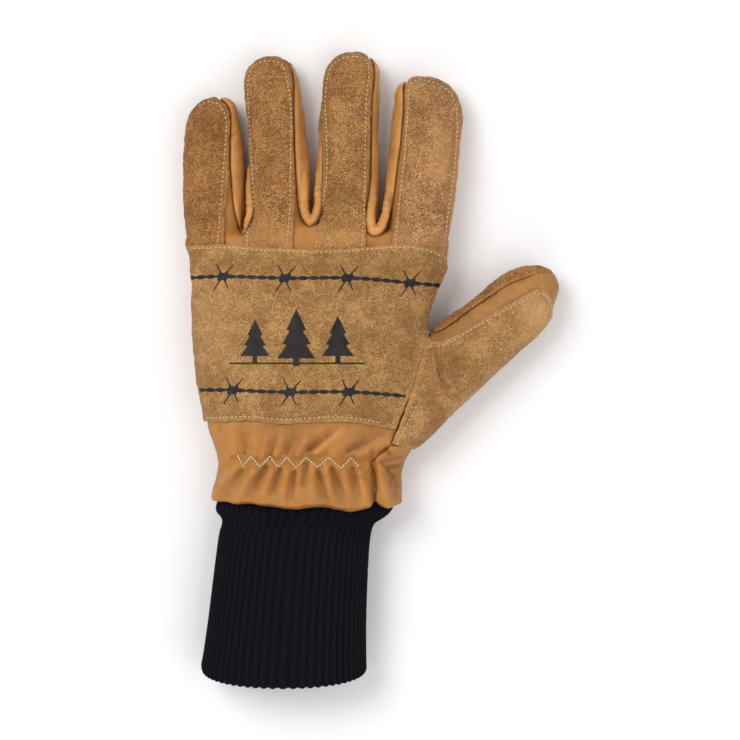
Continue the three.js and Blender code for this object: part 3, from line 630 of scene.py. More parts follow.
def tone_and_shade_at(points):
    """How much lighter or darker than its own tone the leather is at each point, from its blotches and from
    painted shade and light.
    """
    total = np.zeros(len(points))
    for x, y, reach_x, reach_y, amount in zip(*TONE_AND_SHADE_SPOTS.values()):
        away = ((points[:, 0] - x) / reach_x) ** 2 + ((points[:, 1] - y) / reach_y) ** 2
        total += amount * np.exp(-away)
    return np.clip(total, -1, 1)


def form(x, y, z, step):
    """How far outside the leather each point of a grid is."""
    body = body_field(x, y, z)
    whole = body
    for name, finger in FINGERS.items():
        left, right = finger["rows"]["x"].min() - FINGER_REACH, finger["rows"]["x"].max() + FINGER_REACH
        if x.max() > left and x.min() < right and y.max() > FINGERS_FROM:
            whole = np.minimum(whole, smooth_min(body, finger_field(name, x, y, z), KNUCKLE_BLEND))
    if x.max() > THUMB_FROM:
        whole = np.minimum(whole, smooth_min(body, thumb_field(x, y, z), THUMB_BLEND))
    slopes = np.gradient(whole, step)
    whole = whole / np.maximum(np.sqrt(sum(slope**2 for slope in slopes)), LEAST_SLOPE)
    upper = np.clip((z - FOLDS_FROM) / (FOLDS_FULL_BY - FOLDS_FROM), 0, 1)
    return whole - relief(x, y) * upper


# Outlines

def outline_distance(corners, x, y):
    """Distance from a closed outline in the plan, below 0 inside it."""
    inside = np.zeros(np.broadcast(x, y).shape, bool)
    nearest = np.full(inside.shape, np.inf)
    for (ax, ay), (bx, by) in zip(corners, np.roll(corners, -1, axis=0)):
        near, _ = line_distance(x, y, ax, ay, bx, by)
        nearest = np.minimum(nearest, near)
        if ay != by:
            inside ^= ((ay > y) != (by > y)) & (x < (bx - ax) * (y - ay) / (by - ay) + ax)
    return np.where(inside, -nearest, nearest)


STRIP_WRAP = 0.985
STRIP_END = 0.995
STRIP_TUCK = 1.6


def patch_top(x):
    return np.interp(x, *np.array(BACK_PATCH_TOP).T)


def strip_cut(name, x, y, z):
    """Past the edges of a finger's suede, which run square to the leather and wrap round its sides."""
    middle, half, waist, up, _ = finger_section(name, y)
    into = np.clip((y - (FINGERS[name]["tip"] - FINGER_ROUND)) / FINGER_ROUND, 0, STRIP_END)
    taper = (1 - into**TIP_POWER) ** (1 / TIP_POWER)
    half, up = half * taper, up * taper
    across, rise = x - middle, z - waist
    cut = patch_top(x) - STRIP_TUCK - y
    for key, way in (("left", -1), ("right", 1)):
        edge = np.interp(y, FINGERS[name]["strip"]["y"], FINGERS[name]["strip"][key])
        share = np.clip((edge - middle) / half, -STRIP_WRAP, STRIP_WRAP)
        edge_x, edge_z = share * half, up * (1 - np.abs(share) ** TOP_POWER) ** (1 / TOP_POWER)
        beyond = way * (across * edge_z - rise * edge_x) / np.hypot(edge_x, edge_z)
        cut = np.maximum(cut, np.maximum(beyond, way * (x - edge)))
    return cut


BACK_PATCH = np.concatenate([smooth_line(BACK_PATCH_TOP, 4), smooth_line(BACK_PATCH_FOOT, 4)])
THUMB_PATCH_LINE = np.concatenate([smooth_line(THUMB_PATCH_TOP, 3), THUMB_PATCH[len(THUMB_PATCH_TOP):]])
THUMB_FRONT = np.concatenate([smooth_line(THUMB_BAND_TOP, 4), THUMB_FRONT_END])


def back_patch_cut(x, y, z):
    cut = np.maximum(outline_distance(BACK_PATCH, x, y), PATCH_LOW - z)
    gap = np.interp(y, THUMB_SEAM_GAPS["y"], THUMB_SEAM_GAPS["gap"])
    return np.maximum(cut, gap - outline_distance(THUMB_ZONE, x, y))


def thumb_patch_cut(x, y, z):
    return np.maximum(outline_distance(THUMB_PATCH_LINE, x, y) - SEAM_OVERLAP, THUMB_PATCH_LOW - z)


def thumb_front_cut(x, y, z):
    zone = np.minimum(outline_distance(THUMB_FRONT, x, y), z - THUMB_FRONT_LEVEL)
    start = np.maximum(THUMB_FRONT_START - thumb_line(x, y)[0], THUMB_FRONT_LEFT - x)
    return np.maximum(np.maximum(outline_distance(THUMB_ZONE, x, y), zone), start)


def palm_side(x, y, z):
    """Below 0 on the palm's side of the side seams."""
    level = z - np.interp(y, SIDE_SEAM["y"], SIDE_SEAM["z"])
    return np.minimum(level, outline_distance(WRIST_SEAM, x, y))


def fourchette_cut(name, x, y, z):
    """Below 0 where the side walls of two neighbouring fingers face each other."""
    seam = smooth_line(FOURCHETTES[name]["seam"], 2.5)
    return np.maximum(outline_distance(seam, x, y), FOURCHETTE_LOW - z)


# Skins

# How often and how far points are moved between their neighbours, and the least slope they are put back by
EVEN_ROUNDS = 3
EVEN_SHARE = 0.5
LEAST_FALL = 0.2
# The lengths of the waves in a bumpy surface, as shares of a bump's size
WAVE_STRETCH = (1.4, 2.8)


class Block:
    """A box of space on a grid, with the glove's form in it."""

    def __init__(self, low, high, step):
        self.low, self.step = np.array(low, float), step
        counts = np.ceil((np.array(high) - self.low) / step).astype(int) + 1
        places = [self.low[i] + step * np.arange(counts[i]) for i in range(3)]
        self.x, self.y, self.z = np.meshgrid(*places, indexing="ij", sparse=True)
        self.depth = form(self.x, self.y, self.z, step)

    def sample(self, values, points):
        """Values at any points, and how fast they change there."""
        at = (points - self.low) / self.step
        base = np.clip(np.floor(at).astype(int), 0, np.array(values.shape) - 2)
        f = np.clip(at - base, 0, 1)
        i, j, k = base.T
        c = {(a, b, d): values[i + a, j + b, k + d] for a in (0, 1) for b in (0, 1) for d in (0, 1)}
        weight = {0: 1 - f, 1: f}
        value = np.zeros(len(points))
        slope = np.zeros_like(points)
        for (a, b, d), corner in c.items():
            wa, wb, wd = weight[a][:, 0], weight[b][:, 1], weight[d][:, 2]
            value += corner * wa * wb * wd
            slope[:, 0] += corner * (2 * a - 1) * wb * wd
            slope[:, 1] += corner * wa * (2 * b - 1) * wd
            slope[:, 2] += corner * wa * wb * (2 * d - 1)
        return value, slope / self.step


def used_only(quads):
    """The points that quads use, and the quads numbered by them."""
    used, numbered = np.unique(quads, return_inverse=True)
    return used, numbered.reshape(-1, 4)


def skin(block, values):
    """Points and quads of the surface where values on the block's grid cross 0."""
    values = values.copy()
    for axis in range(3):
        side = np.moveaxis(values, axis, 0)
        side[[0, -1]] = np.maximum(side[[0, -1]], block.step)
    crossings, cells = [], []
    for axis in range(3):
        first, second = [slice(None)] * 3, [slice(None)] * 3
        first[axis], second[axis] = slice(None, -1), slice(1, None)
        first, second = values[tuple(first)], values[tuple(second)]
        hit = (first < 0) != (second < 0)
        start = np.argwhere(hit)
        a, b = first[hit], second[hit]
        crossing = start.astype(float)
        crossing[:, axis] += a / (a - b)
        crossings.append(np.repeat(crossing, 4, axis=0))
        corners = []
        for back_one, back_two in ((1, 1), (0, 1), (0, 0), (1, 0)):
            cell = start.copy()
            cell[:, (axis + 1) % 3] -= back_one
            cell[:, (axis + 2) % 3] -= back_two
            corners.append(np.ravel_multi_index(cell.T, values.shape))
        corners = np.stack(corners, axis=1)
        cells.append(np.where((a < 0)[:, None], corners, corners[:, ::-1]))
    quads = used_only(np.concatenate(cells))[1]
    crossings = np.concatenate(crossings)
    counts = np.bincount(quads.ravel())
    points = np.stack([np.bincount(quads.ravel(), column) / counts for column in crossings.T], axis=1)
    return settle(block, values, block.low + points * block.step, quads), quads


def neighbour_mean(points, quads):
    starts = quads.ravel()
    ends = np.roll(quads, -1, axis=1).ravel()
    both, other = np.concatenate([starts, ends]), np.concatenate([ends, starts])
    counts = np.maximum(np.bincount(both, minlength=len(points)), 1)
    columns = points if points.ndim == 2 else points[:, None]
    means = [np.bincount(both, column[other], len(points)) / counts for column in columns.T]
    return np.stack(means, axis=1) if points.ndim == 2 else means[0]


def settle(block, values, points, quads):
    """Evens out the points and puts them back on the surface."""
    for _ in range(EVEN_ROUNDS):
        points = points + EVEN_SHARE * (neighbour_mean(points, quads) - points)
        for _ in range(2):
            value, slope = block.sample(values, points)
            size = np.maximum((slope**2).sum(axis=1), LEAST_FALL)
            move = np.clip(value / size, -block.step, block.step)
            points = points - slope * move[:, None]
    return points


def normals_of(points, quads):
    a, b, c, d = (points[quads[:, i]] for i in range(4))
    spread = np.repeat(np.cross(c - a, d - b), 4, axis=0)
    total = np.stack([np.bincount(quads.ravel(), column, len(points)) for column in spread.T], axis=1)
    return total / np.maximum(np.linalg.norm(total, axis=1, keepdims=True), 1e-9)


def waves(points, length, seed, count=14):
    """A smooth random value at each point, about -1 to 1, with bumps about a length across."""
    random = np.random.default_rng(seed)
    directions = random.normal(size=(count, 3))
    directions /= np.linalg.norm(directions, axis=1, keepdims=True)
    pitches = 2 * math.pi / (length * random.uniform(*WAVE_STRETCH, count))
    phases = random.uniform(0, 2 * math.pi, count)
    total = sum(np.sin(points @ (d * p) + phase) for d, p, phase in zip(directions, pitches, phases))
    return total / math.sqrt(count)


def bumps(points, sizes):
    return sum(height * waves(points, length, seed) for height, length, seed in sizes)


def hollowness(points, quads, normals, length):
    """How deep each point lies between its neighbours: above 0 in a hollow and below 0 on a ridge."""
    lift = ((neighbour_mean(points, quads) - points) * normals).sum(axis=1) / length
    for _ in range(2):
        lift = neighbour_mean(lift, quads)
    return np.clip(lift, -1, 1)


# Objects of the scene

def to_frame(points):
    return (np.asarray(points) + PLAN_SHIFT) * MM


def to_plan(point):
    return np.array(point) / MM - PLAN_SHIFT


def add_object(name, data):
    thing = bpy.data.objects.new(name, data)
    bpy.context.scene.collection.objects.link(thing)
    return thing


def mesh_object(name, points, faces, material, attributes=None):
    """A smooth mesh in the frame, from points in the plan. faces is a list of arrays."""
    mesh = bpy.data.meshes.new(name)
    mesh.from_pydata(to_frame(points).tolist(), [], [face for group in faces for face in group.tolist()])
    mesh.shade_smooth()
    for key, values in (attributes or {}).items():
        layer = mesh.attributes.new(key, "FLOAT", "POINT")
        layer.data.foreach_set("value", np.asarray(values, np.float32))
    mesh.validate()
    mesh.materials.append(material)
    return add_object(name, mesh)


def add_piece(name, slot, points, faces, material, attributes=None, *nodes):
    """A piece of the glove, which takes the place of the nodes of the solid model that are given."""
    piece = mesh_object(name, points, faces, material, attributes)
    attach(piece, "root")
    if nodes:
        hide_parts(*nodes)


# Materials

def linear(tone):
    """A colour from 0 to 255 as the shader's linear colour."""
    shares = [channel / 255 for channel in tone]
    return tuple(s / 12.92 if s <= 0.04045 else ((s + 0.055) / 1.055) ** 2.4 for s in shares) + (1.0,)


class Shader:
    """A material's nodes, added one at a time and linked as they are added."""

    def __init__(self, name):
        self.material = bpy.data.materials.new(name)
        self.material.use_nodes = True
        self.tree = self.material.node_tree
        self.surface = self.tree.nodes["Principled BSDF"]
        self.place = self.add("ShaderNodeTexCoord").outputs["Object"]

    def add(self, kind, inputs=None, **settings):
        node = self.tree.nodes.new(kind)
        for key, value in settings.items():
            setattr(node, key, value)
        for key, value in (inputs or {}).items():
            self.put(node.inputs[key], value)
        return node

    def put(self, socket, value):
        if isinstance(value, bpy.types.NodeSocket):
            self.tree.links.new(value, socket)
        else:
            socket.default_value = value

    def noise(self, size, detail=2.0, rough=0.5):
        """Noise with features about a size across, in millimetres."""
        inputs = {"Vector": self.place, "Scale": 1 / (size * MM), "Detail": detail, "Roughness": rough}
        return self.add("ShaderNodeTexNoise", inputs).outputs["Fac"]

    def cells(self, size):
        inputs = {"Vector": self.place, "Scale": 1 / (size * MM)}
        return self.add("ShaderNodeTexVoronoi", inputs, feature="DISTANCE_TO_EDGE").outputs["Distance"]

    def attribute(self, name):
        return self.add("ShaderNodeAttribute", attribute_name=name).outputs["Fac"]

    def range(self, value, low, high, to_low=0.0, to_high=1.0):
        inputs = {"Value": value, "From Min": low, "From Max": high, "To Min": to_low, "To Max": to_high}
        return self.add("ShaderNodeMapRange", inputs).outputs["Result"]

    def mix(self, share, a, b):
        node = self.add("ShaderNodeMix", data_type="RGBA", blend_type="MIX")
        self.put(node.inputs["Factor"], share)
        self.put(node.inputs["A"], a)
        self.put(node.inputs["B"], b)
        return node.outputs["Result"]

    def layers(self, colour, *steps):
        """Tones laid over a colour, each up to a share as its value goes from low to high."""
        for value, low, high, share, tone in steps:
            colour = self.mix(self.range(value, low, high, 0.0, share), colour, tone)
        return colour

    def bump(self, height, distance, strength, under=None):
        inputs = {"Height": height, "Distance": distance * MM, "Strength": strength}
        if under is not None:
            inputs["Normal"] = under
        return self.add("ShaderNodeBump", inputs).outputs["Normal"]

    def finish(self, inputs):
        for key, value in inputs.items():
            self.put(self.surface.inputs[key], value)
        return self.material


def shade(tone, factor):
    """A tone made lighter or darker."""
    return linear([min(255, channel * factor) for channel in tone])


STRIP_NAP = 1.35
PANEL_NAP = 0.74


def suede_material(name, tone, strength=STRIP_NAP):
    """Napped split leather: short flecks in soft clouds, lighter along its raw edges, with painted shade in
    its hollows.
    """
    pale = (tone[0], tone[1] * 1.03, tone[2] * 1.10)
    warm = (tone[0], tone[1] * 0.91, tone[2] * 0.76)
    s = Shader(name)
    nap = s.noise(0.46, 1.0, 0.5)
    fleck = s.noise(0.74, 2.0, 0.6)
    tuft = s.noise(1.9, 2.0, 0.5)
    cloud = s.noise(8.0, 3.0, 0.55)
    spot, hollow = s.attribute("tone"), s.attribute("hollow")
    dark, light = shade(warm, 1 - 0.25 * strength), shade(pale, 1 + 0.24 * strength)
    colour = s.layers(
        s.mix(s.range(fleck, 0.36, 0.64), dark, light),
        (nap, 0.47, 0.30, 0.62 * strength, shade(warm, 0.58)),
        (nap, 0.53, 0.70, 0.62 * strength, shade(pale, 1.44)),
        (tuft, 0.45, 0.65, 0.40, shade(warm, 0.80)),
        (tuft, 0.45, 0.28, 0.30, shade(pale, 1.20)),
        (cloud, 0.45, 0.66, 0.52, shade(warm, 0.80)),
        (cloud, 0.46, 0.30, 0.44, shade(tone, 1.22)),
        # Blotches of tone, with painted shade and painted light over some folds
        (spot, 0.0, -1.0, 0.62, shade(warm, 0.70)),
        (spot, 0.0, 1.0, 0.62, shade(pale, 1.30)),
        (s.attribute("rim"), 0.0, 1.0, 0.42, shade(tone, 1.24)),
        # Painted shade in the hollows of the suede
        (hollow, 0.02, 0.22, 0.5, shade(tone, 0.55)),
    )
    normal = s.bump(tuft, 0.5, 0.5)
    normal = s.bump(fleck, 0.3, 0.7, normal)
    normal = s.bump(nap, 0.16, 0.7, normal)
    return s.finish({
        "Base Color": colour,
        "Roughness": 0.94,
        "Specular IOR Level": 0.12,
        "Sheen Weight": 0.06,
        "Sheen Roughness": 0.5,
        "Normal": normal,
    })


def grain_material(name, tone):
    """Smooth full-grain leather: tiny pores, fine wrinkles and a soft sheen, with painted shade in its
    hollows, fold valleys and seams and painted light on its ridges.
    """
    deep = shade((tone[0], tone[1] * 0.94, tone[2] * 0.80), 0.80)
    red_shade = (tone[0], tone[1] * 0.88, tone[2] * 0.72)
    s = Shader(name)
    cloud = s.noise(14.0, 3.0)
    mottle = s.noise(3.2, 3.0)
    pores = s.noise(0.5, 2.0)
    lines = s.cells(1.1)
    fold, spot, hollow = s.attribute("fold"), s.attribute("tone"), s.attribute("hollow")
    colour = s.layers(
        s.mix(s.range(cloud, 0.35, 0.65), shade(tone, 0.92), shade(tone, 1.06)),
        (mottle, 0.45, 0.72, 0.35, deep),
        # Blotches of tone, with painted shade and painted light over some folds
        (spot, 0.0, -1.0, 0.7, deep),
        (spot, 0.0, 1.0, 0.5, shade(tone, 1.16)),
        # Painted shade in the valleys of the folds and painted light on their ridges
        (fold, -0.20, -1.0, 0.26, shade(red_shade, 0.70)),
        (fold, 0.1, 1.0, 0.45, shade(tone, 1.16)),
        # Painted shade in the hollows and painted light on the ridges
        (hollow, 0.015, 0.16, 0.75, shade(tone, 0.50)),
        (hollow, -0.01, -0.12, 0.35, shade(tone, 1.18)),
        # Painted shade along the seams
        (s.attribute("seam"), 0.0, 1.0, 0.8, shade(red_shade, 0.45)),
    )
    normal = s.bump(s.range(lines, 0.0, 0.12), 0.05, 0.5)
    normal = s.bump(mottle, 0.35, 0.35, normal)
    normal = s.bump(pores, 0.05, 0.4, normal)
    gloss = s.range(mottle, 0.3, 0.7, 0.44, 0.60)
    return s.finish({"Base Color": colour, "Roughness": gloss, "Specular IOR Level": 0.30, "Normal": normal})


def knit_material():
    """Dark knit yarn, with painted shade in the holes between its stitches."""
    s = Shader("rib_knit")
    fibre = s.noise(0.35, 3.0, 0.7)
    colour = s.layers(
        s.mix(s.range(fibre, 0.35, 0.65), shade(KNIT_TONE, 0.8), shade(KNIT_TONE, 1.7)),
        (s.noise(9.0), 0.4, 0.7, 0.3, shade(KNIT_TONE, 1.5)),
        # Painted shade in the furrows and the holes between the stitches
        (s.attribute("dots"), 0.25, 0.95, 0.9, shade(KNIT_TONE, 0.15)),
    )
    normal = s.bump(fibre, 0.2, 0.6)
    return s.finish({"Base Color": colour, "Roughness": 0.85, "Specular IOR Level": 0.10, "Normal": normal})


def thread_material():
    s = Shader("cream_thread")
    twist = s.noise(0.3, 1.0)
    colour = s.mix(s.range(twist, 0.35, 0.65), shade(THREAD_TONE, 0.82), shade(THREAD_TONE, 1.08))
    normal = s.bump(twist, 0.1, 0.6)
    return s.finish({"Base Color": colour, "Roughness": 0.62, "Sheen Weight": 0.15, "Normal": normal})


def ink_material():
    s = Shader("print_ink")
    wear = s.noise(0.7, 3.0, 0.7)
    colour = s.layers(
        s.mix(s.range(s.noise(6.0), 0.35, 0.7), shade(INK_TONE, 0.75), shade(INK_TONE, 1.5)),
        (wear, 0.66, 0.78, 0.6, shade(SUEDE_TONES["back"], 0.6)),
    )
    normal = s.bump(wear, 0.12, 0.6)
    return s.finish({"Base Color": colour, "Roughness": 0.6, "Specular IOR Level": 0.3, "Normal": normal})


def floor_material():
    s = Shader("pale_floor")
    colour = s.mix(s.range(s.noise(300.0), 0.3, 0.7), shade(FLOOR_TONE, 0.995), shade(FLOOR_TONE, 1.005))
    return s.finish({"Base Color": colour, "Roughness": 0.8, "Specular IOR Level": 0.2})


# Suede pieces

# Height and size of the bumps in a surface, and their seed
SUEDE_BUMPS = [(0.12, 2.2, 11), (0.26, 9.0, 12)]
GRAIN_BUMPS = [(0.10, 3.0, 21), (0.18, 10.0, 22)]

RIM_WIDTH = 2.0
STRIP_MARGIN = 18.0
THUMB_FRONT_WAVER = 0.05


def waver(x, y):
    """The unevenness of a hand-cut edge, from -2 to 2."""
    return sum(np.sin(turn_x * x + turn_y * y) for turn_x, turn_y in WAVER_TURNS)


def suede_piece(name, low, high, cut, material, node, lift=None, uneven=EDGE_WAVER):
    """A suede panel over the leather, inside an outline, dipped along its lines of stitches."""
    block = Block(low, high, FINE_STEP)
    edge = cut(block.x, block.y, block.z) + uneven * waver(block.x, block.y)
    top = GAP + SUEDE + (lift(block.x, block.y) if lift else 0)
    dip = 0
    for line in STITCH_LINES.get(name, []):
        near = chain_distance(smooth_line(line, 2.5), block.x, block.y)
        dip = np.maximum(dip, STITCH_DIP * np.exp(-((near / STITCH_DIP_WIDTH) ** 2)))
    outer = smooth_max(block.depth - top + dip, edge, EDGE_ROUND)
    points, quads = skin(block, np.maximum(outer, GAP - block.depth))
    normals = normals_of(points, quads)
    rim = np.clip(1 + cut(*points.T) / RIM_WIDTH, 0, 1)
    outside = np.clip((block.sample(block.depth, points)[0] - GAP) / (0.5 * SUEDE), 0, 1)
    points = points + normals * (bumps(points, SUEDE_BUMPS) * outside)[:, None]
    hollow = hollowness(points, quads, normals, FINE_STEP)
    # hollow gives the suede painted shade in its hollows; tone gives its blotches with painted shade and
    # light
    attributes = {"rim": rim, "tone": tone_and_shade_at(points), "hollow": hollow}
    add_piece(name, "suede", points, [quads], material, attributes, node)


def build_strips():
    for name, finger in FINGERS.items():
        middles = finger["rows"]["x"]
        low = (min(middles) - STRIP_MARGIN, 48, 6)
        high = (max(middles) + STRIP_MARGIN, finger["tip"] + 4, 31)
        material = suede_material(f"suede_{name}", SUEDE_TONES[name])
        suede_piece(f"{name}_suede", low, high, partial(strip_cut, name), material, f"{name}_strip")


def patch_lift(x, y):
    """The back panel lies over the finger strips along its top edge."""
    return PATCH_LIFT * np.clip(1 - (patch_top(x) - y) / PATCH_LIFT_RUN, 0, 1) ** 2


def thumb_lift(x, y):
    """The thumb's panel stands up along its seam with the back panel."""
    return THUMB_SEAM_LIFT * np.exp(-((chain_distance(THUMB_SEAM, x, y) / THUMB_SEAM_RUN) ** 2))


def build_panels():
    back = suede_material("suede_back", SUEDE_TONES["back"], PANEL_NAP)
    thumb = suede_material("suede_thumb", SUEDE_TONES["thumb"], PANEL_NAP)
    front = suede_material("suede_thumb_front", SUEDE_TONES["thumb_front"])
    low, high = (-64, -32, 8), (62, 60, 42)
    suede_piece("back_suede", low, high, back_patch_cut, back, "back_patch", patch_lift)
    low, high = (24, -38, 4), (108, 42, 34)
    suede_piece("thumb_suede", low, high, thumb_patch_cut, thumb, "thumb_patch", thumb_lift, -EDGE_WAVER)
    low, high = (46, -16, -1), (108, 52, 30)
    suede_piece(
        "thumb_front_suede", low, high, thumb_front_cut, front, "thumb_front_patch", uneven=THUMB_FRONT_WAVER
    )


# The leather under the suede

# The height of a fold at which its painted shade or painted light is full
FOLD_SHADE_HEIGHT = 1.4
# The width of the painted shade along the seams
SEAM_SHADE = 0.9
FLOOR_CLEARANCE = 0.05
FLAT_BELOW = 1.0
THUMB_SEAM_PAST = 1.0
SIDE_SEAM_PAST = 0.5


def leather_skin(block, cut, lift, extra=None):
    """A wall of leather inside an outline, with a solid of its own joined on where one is given."""
    shell = np.maximum(block.depth - lift, -WALL - block.depth)
    values = smooth_max(shell, cut, SEAM_ROUND)
    if extra is not None:
        values = smooth_min(values, extra, ROLL_BLEND)
    points, quads = skin(block, np.maximum(values, FLOOR_CLEARANCE - block.z))
    normals = normals_of(points, quads)
    depth = block.sample(block.depth, points)[0]
    outside = np.clip((depth + WALL / 2) / (WALL / 2), 0, 1) * (points[:, 2] > FLAT_BELOW)
    points = points + normals * (bumps(points, GRAIN_BUMPS) * outside)[:, None]
    # hollow, fold and seam give painted shade in hollows, fold valleys and seams and painted light on
    # ridges; tone gives blotches with painted shade and light
    return points, quads, {
        "hollow": hollowness(points, quads, normals, block.step),
        "fold": np.clip(relief(points[:, 0], points[:, 1]) / FOLD_SHADE_HEIGHT, -1, 1),
        "seam": np.clip(1 + block.sample(cut, points)[0] / SEAM_SHADE, 0, 1),
        "tone": tone_and_shade_at(points),
    }


def leather_piece(name, skins, material, node):
    """One piece of leather from one skin, or from several that run into each other."""
    starts = np.cumsum([0] + [len(points) for points, _, _ in skins])
    points = np.concatenate([points for points, _, _ in skins])
    quads = np.concatenate([quads + start for (_, quads, _), start in zip(skins, starts)])
    attributes = {key: np.concatenate([values[key] for _, _, values in skins]) for key in skins[0][2]}
    add_piece(name, "grain", points, [quads], material, attributes, node)


def roll_field(name, block):
    """The rolled edge round a crotch: a tube along a line, thinner to its ends."""
    line = smooth_line(FOURCHETTES[name]["roll"], 1.5)
    widest = FOURCHETTES[name]["radius"]
    nearest = np.full(block.depth.shape, np.inf)
    for (x, y, z), share in zip(line, np.linspace(-1, 1, len(line))):
        radius = widest + (ROLL_END_RADIUS - widest) * share**2
        turn_x, turn_y = ROLL_WRINKLE_TURNS[0] * x, ROLL_WRINKLE_TURNS[1] * y
        wrinkle = ROLL_WRINKLE * math.sin(turn_y) * math.cos(turn_x) * (1 - share**2)
        away = np.sqrt((block.x - x) ** 2 + (block.y - y) ** 2 + (block.z - z) ** 2)
        nearest = np.minimum(nearest, away - radius - wrinkle)
    return nearest


def tip_fill(x, y, z):
    """How far leather is built out near a finger's tip, where no suede lies on it."""
    starts = np.interp(x, FILL_STARTS_BY_X["x"], FILL_STARTS_BY_X["y"])
    fill = TIP_FILL * np.clip((y - starts) / TIP_FILL_RUN, 0, 1)
    for name in FINGERS:
        fill = fill * np.clip(strip_cut(name, x, y, z) / BARE_RUN, 0, 1)
    return fill


def hand_skin(low, high, step, palm):
    """The palm's leather or the back's, inside a box of space."""
    block = Block(low, high, step)
    x, y, z = block.x, block.y, block.z
    walls = np.full(block.depth.shape, np.inf)
    for name in FOURCHETTES:
        walls = np.minimum(walls, fourchette_cut(name, x, y, z))
    zone, side = outline_distance(THUMB_ZONE, x, y), palm_side(x, y, z)
    seam = np.minimum(np.maximum(walls, 0), np.maximum(zone, 0) + THUMB_SEAM_PAST)
    seam = np.minimum(seam, np.abs(side) + SIDE_SEAM_PAST)
    lift = tip_fill(x, y, z) - SEAM_DIP * np.exp(-seam / SEAM_WIDTH)
    hand = np.maximum(-SEAM_OVERLAP - walls, -SEAM_OVERLAP - zone)
    hand = np.maximum(hand, np.minimum(GAP - cuff_field(x, y, z), CUFF_ROWS["y"][-1] - y))
    return leather_skin(block, np.maximum(hand, side if palm else -SIDE_OVERLAP - side), lift)


def build_leather():
    body_grain = grain_material("grain_body", GRAIN_TONES["body"])
    side_grain = grain_material("grain_side", GRAIN_TONES["side"])
    thumb_grain = grain_material("grain_thumb", GRAIN_TONES["thumb"])
    for name, spec in FOURCHETTES.items():
        block = Block(spec["low"], spec["high"], WALL_STEP)
        cut = fourchette_cut(name, block.x, block.y, block.z)
        lift = FOURCHETTE_BULGE - (FOURCHETTE_BULGE + SEAM_DIP) * np.exp(np.minimum(cut, 0) / SEAM_WIDTH)
        lift = lift + tip_fill(block.x, block.y, block.z)
        wall = leather_skin(block, cut, lift, roll_field(name, block))
        leather_piece(f"side_wall_{name}", [wall], side_grain, f"fourchette_{name}")
    palm = hand_skin((-64, WRIST_JOIN - 1, -2), (66, 140, 22), BASE_STEP, True)
    wrist = hand_skin((-64, -66, -2), (66, WRIST_JOIN, 40), PALM_WRIST_STEP, True)
    leather_piece("palm_grain", [palm, wrist], body_grain, "palm_leather")
    back = hand_skin((-64, WRIST_JOIN - 1, 5), (66, 140, 40), BASE_STEP, False)
    wrist = hand_skin((-64, -66, 5), (66, WRIST_JOIN, 40), WRIST_STEP, False)
    leather_piece("back_grain", [back, wrist], body_grain, "back_leather")
    block = Block((26, -36, -1), (108, 48, 34), BASE_STEP)
    x, y, z = block.x, block.y, block.z
    zone = outline_distance(THUMB_ZONE, x, y)
    lift = -SEAM_DIP * np.exp((np.minimum(zone, 0) - THUMB_SEAM_PAST) / SEAM_WIDTH)
    past_start = thumb_line(x, y)[0] - THUMB_TIP + TIP_FILL_START
    lift = lift + TIP_FILL * np.clip(past_start / TIP_FILL_RUN, 0, 1)
    front = leather_skin(block, np.maximum(zone, z - THUMB_SPLIT), lift)
    back = leather_skin(block, np.maximum(zone, THUMB_SPLIT - SEAM_OVERLAP - z), lift)
    leather_piece("thumb_front_grain", [front], thumb_grain, "thumb_front_leather")
    leather_piece("thumb_back_grain", [back], thumb_grain, "thumb_back_leather")


# The knit cuff

def cuff_tube(stations, inset, ribbed):
    """Rings of points round the cuff, one at each station along it, and how deep in a stitch each lies."""
    around = RIBS * POINTS_PER_RIB
    y, turn = np.meshgrid(stations, 2 * math.pi * np.arange(around) / around, indexing="ij")
    middle, width, high, low = (along(CUFF_ROWS, "y", n, y) for n in ("x", "width", "high", "low"))
    c, s = np.cos(turn), np.sin(turn)
    power = np.where(s >= 0, CUFF_TOP_POWER, CUFF_BASE_POWER)
    bend_c = np.sign(c) * np.abs(c) ** (2 / power)
    bend_s = np.sign(s) * np.abs(s) ** (2 / power)
    furrow = (0.5 - 0.5 * np.cos(turn * RIBS)) ** FURROW_POWER
    knit = 0.5 - 0.5 * np.cos(2 * math.pi * y / KNIT_ROW)
    loops = KNIT_DOT * furrow + KNIT_RIDGE * (1 - furrow)
    out = -ribbed * (RIB_DEPTH * furrow + knit * loops) - inset
    x = middle + (width / 2 + out) * bend_c
    z = (high + low) / 2 + ((high - low) / 2 + out) * bend_s
    curve = np.clip((HEM_CURVE_START - y) / (HEM_CURVE_START - CUFF_ROWS["y"][0]), 0, 1) ** 2
    y = y + HEM_CURVE * curve * (1 - np.abs(bend_s))
    # How deep in a stitch each point lies, which the knit's painted shade follows
    dots = KNIT_SHADES[0] * furrow + KNIT_SHADES[1] * furrow * knit + KNIT_SHADES[2] * knit
    return np.stack([x, y, np.maximum(z, CUFF_CLEARANCE + inset)], axis=2), dots * ribbed


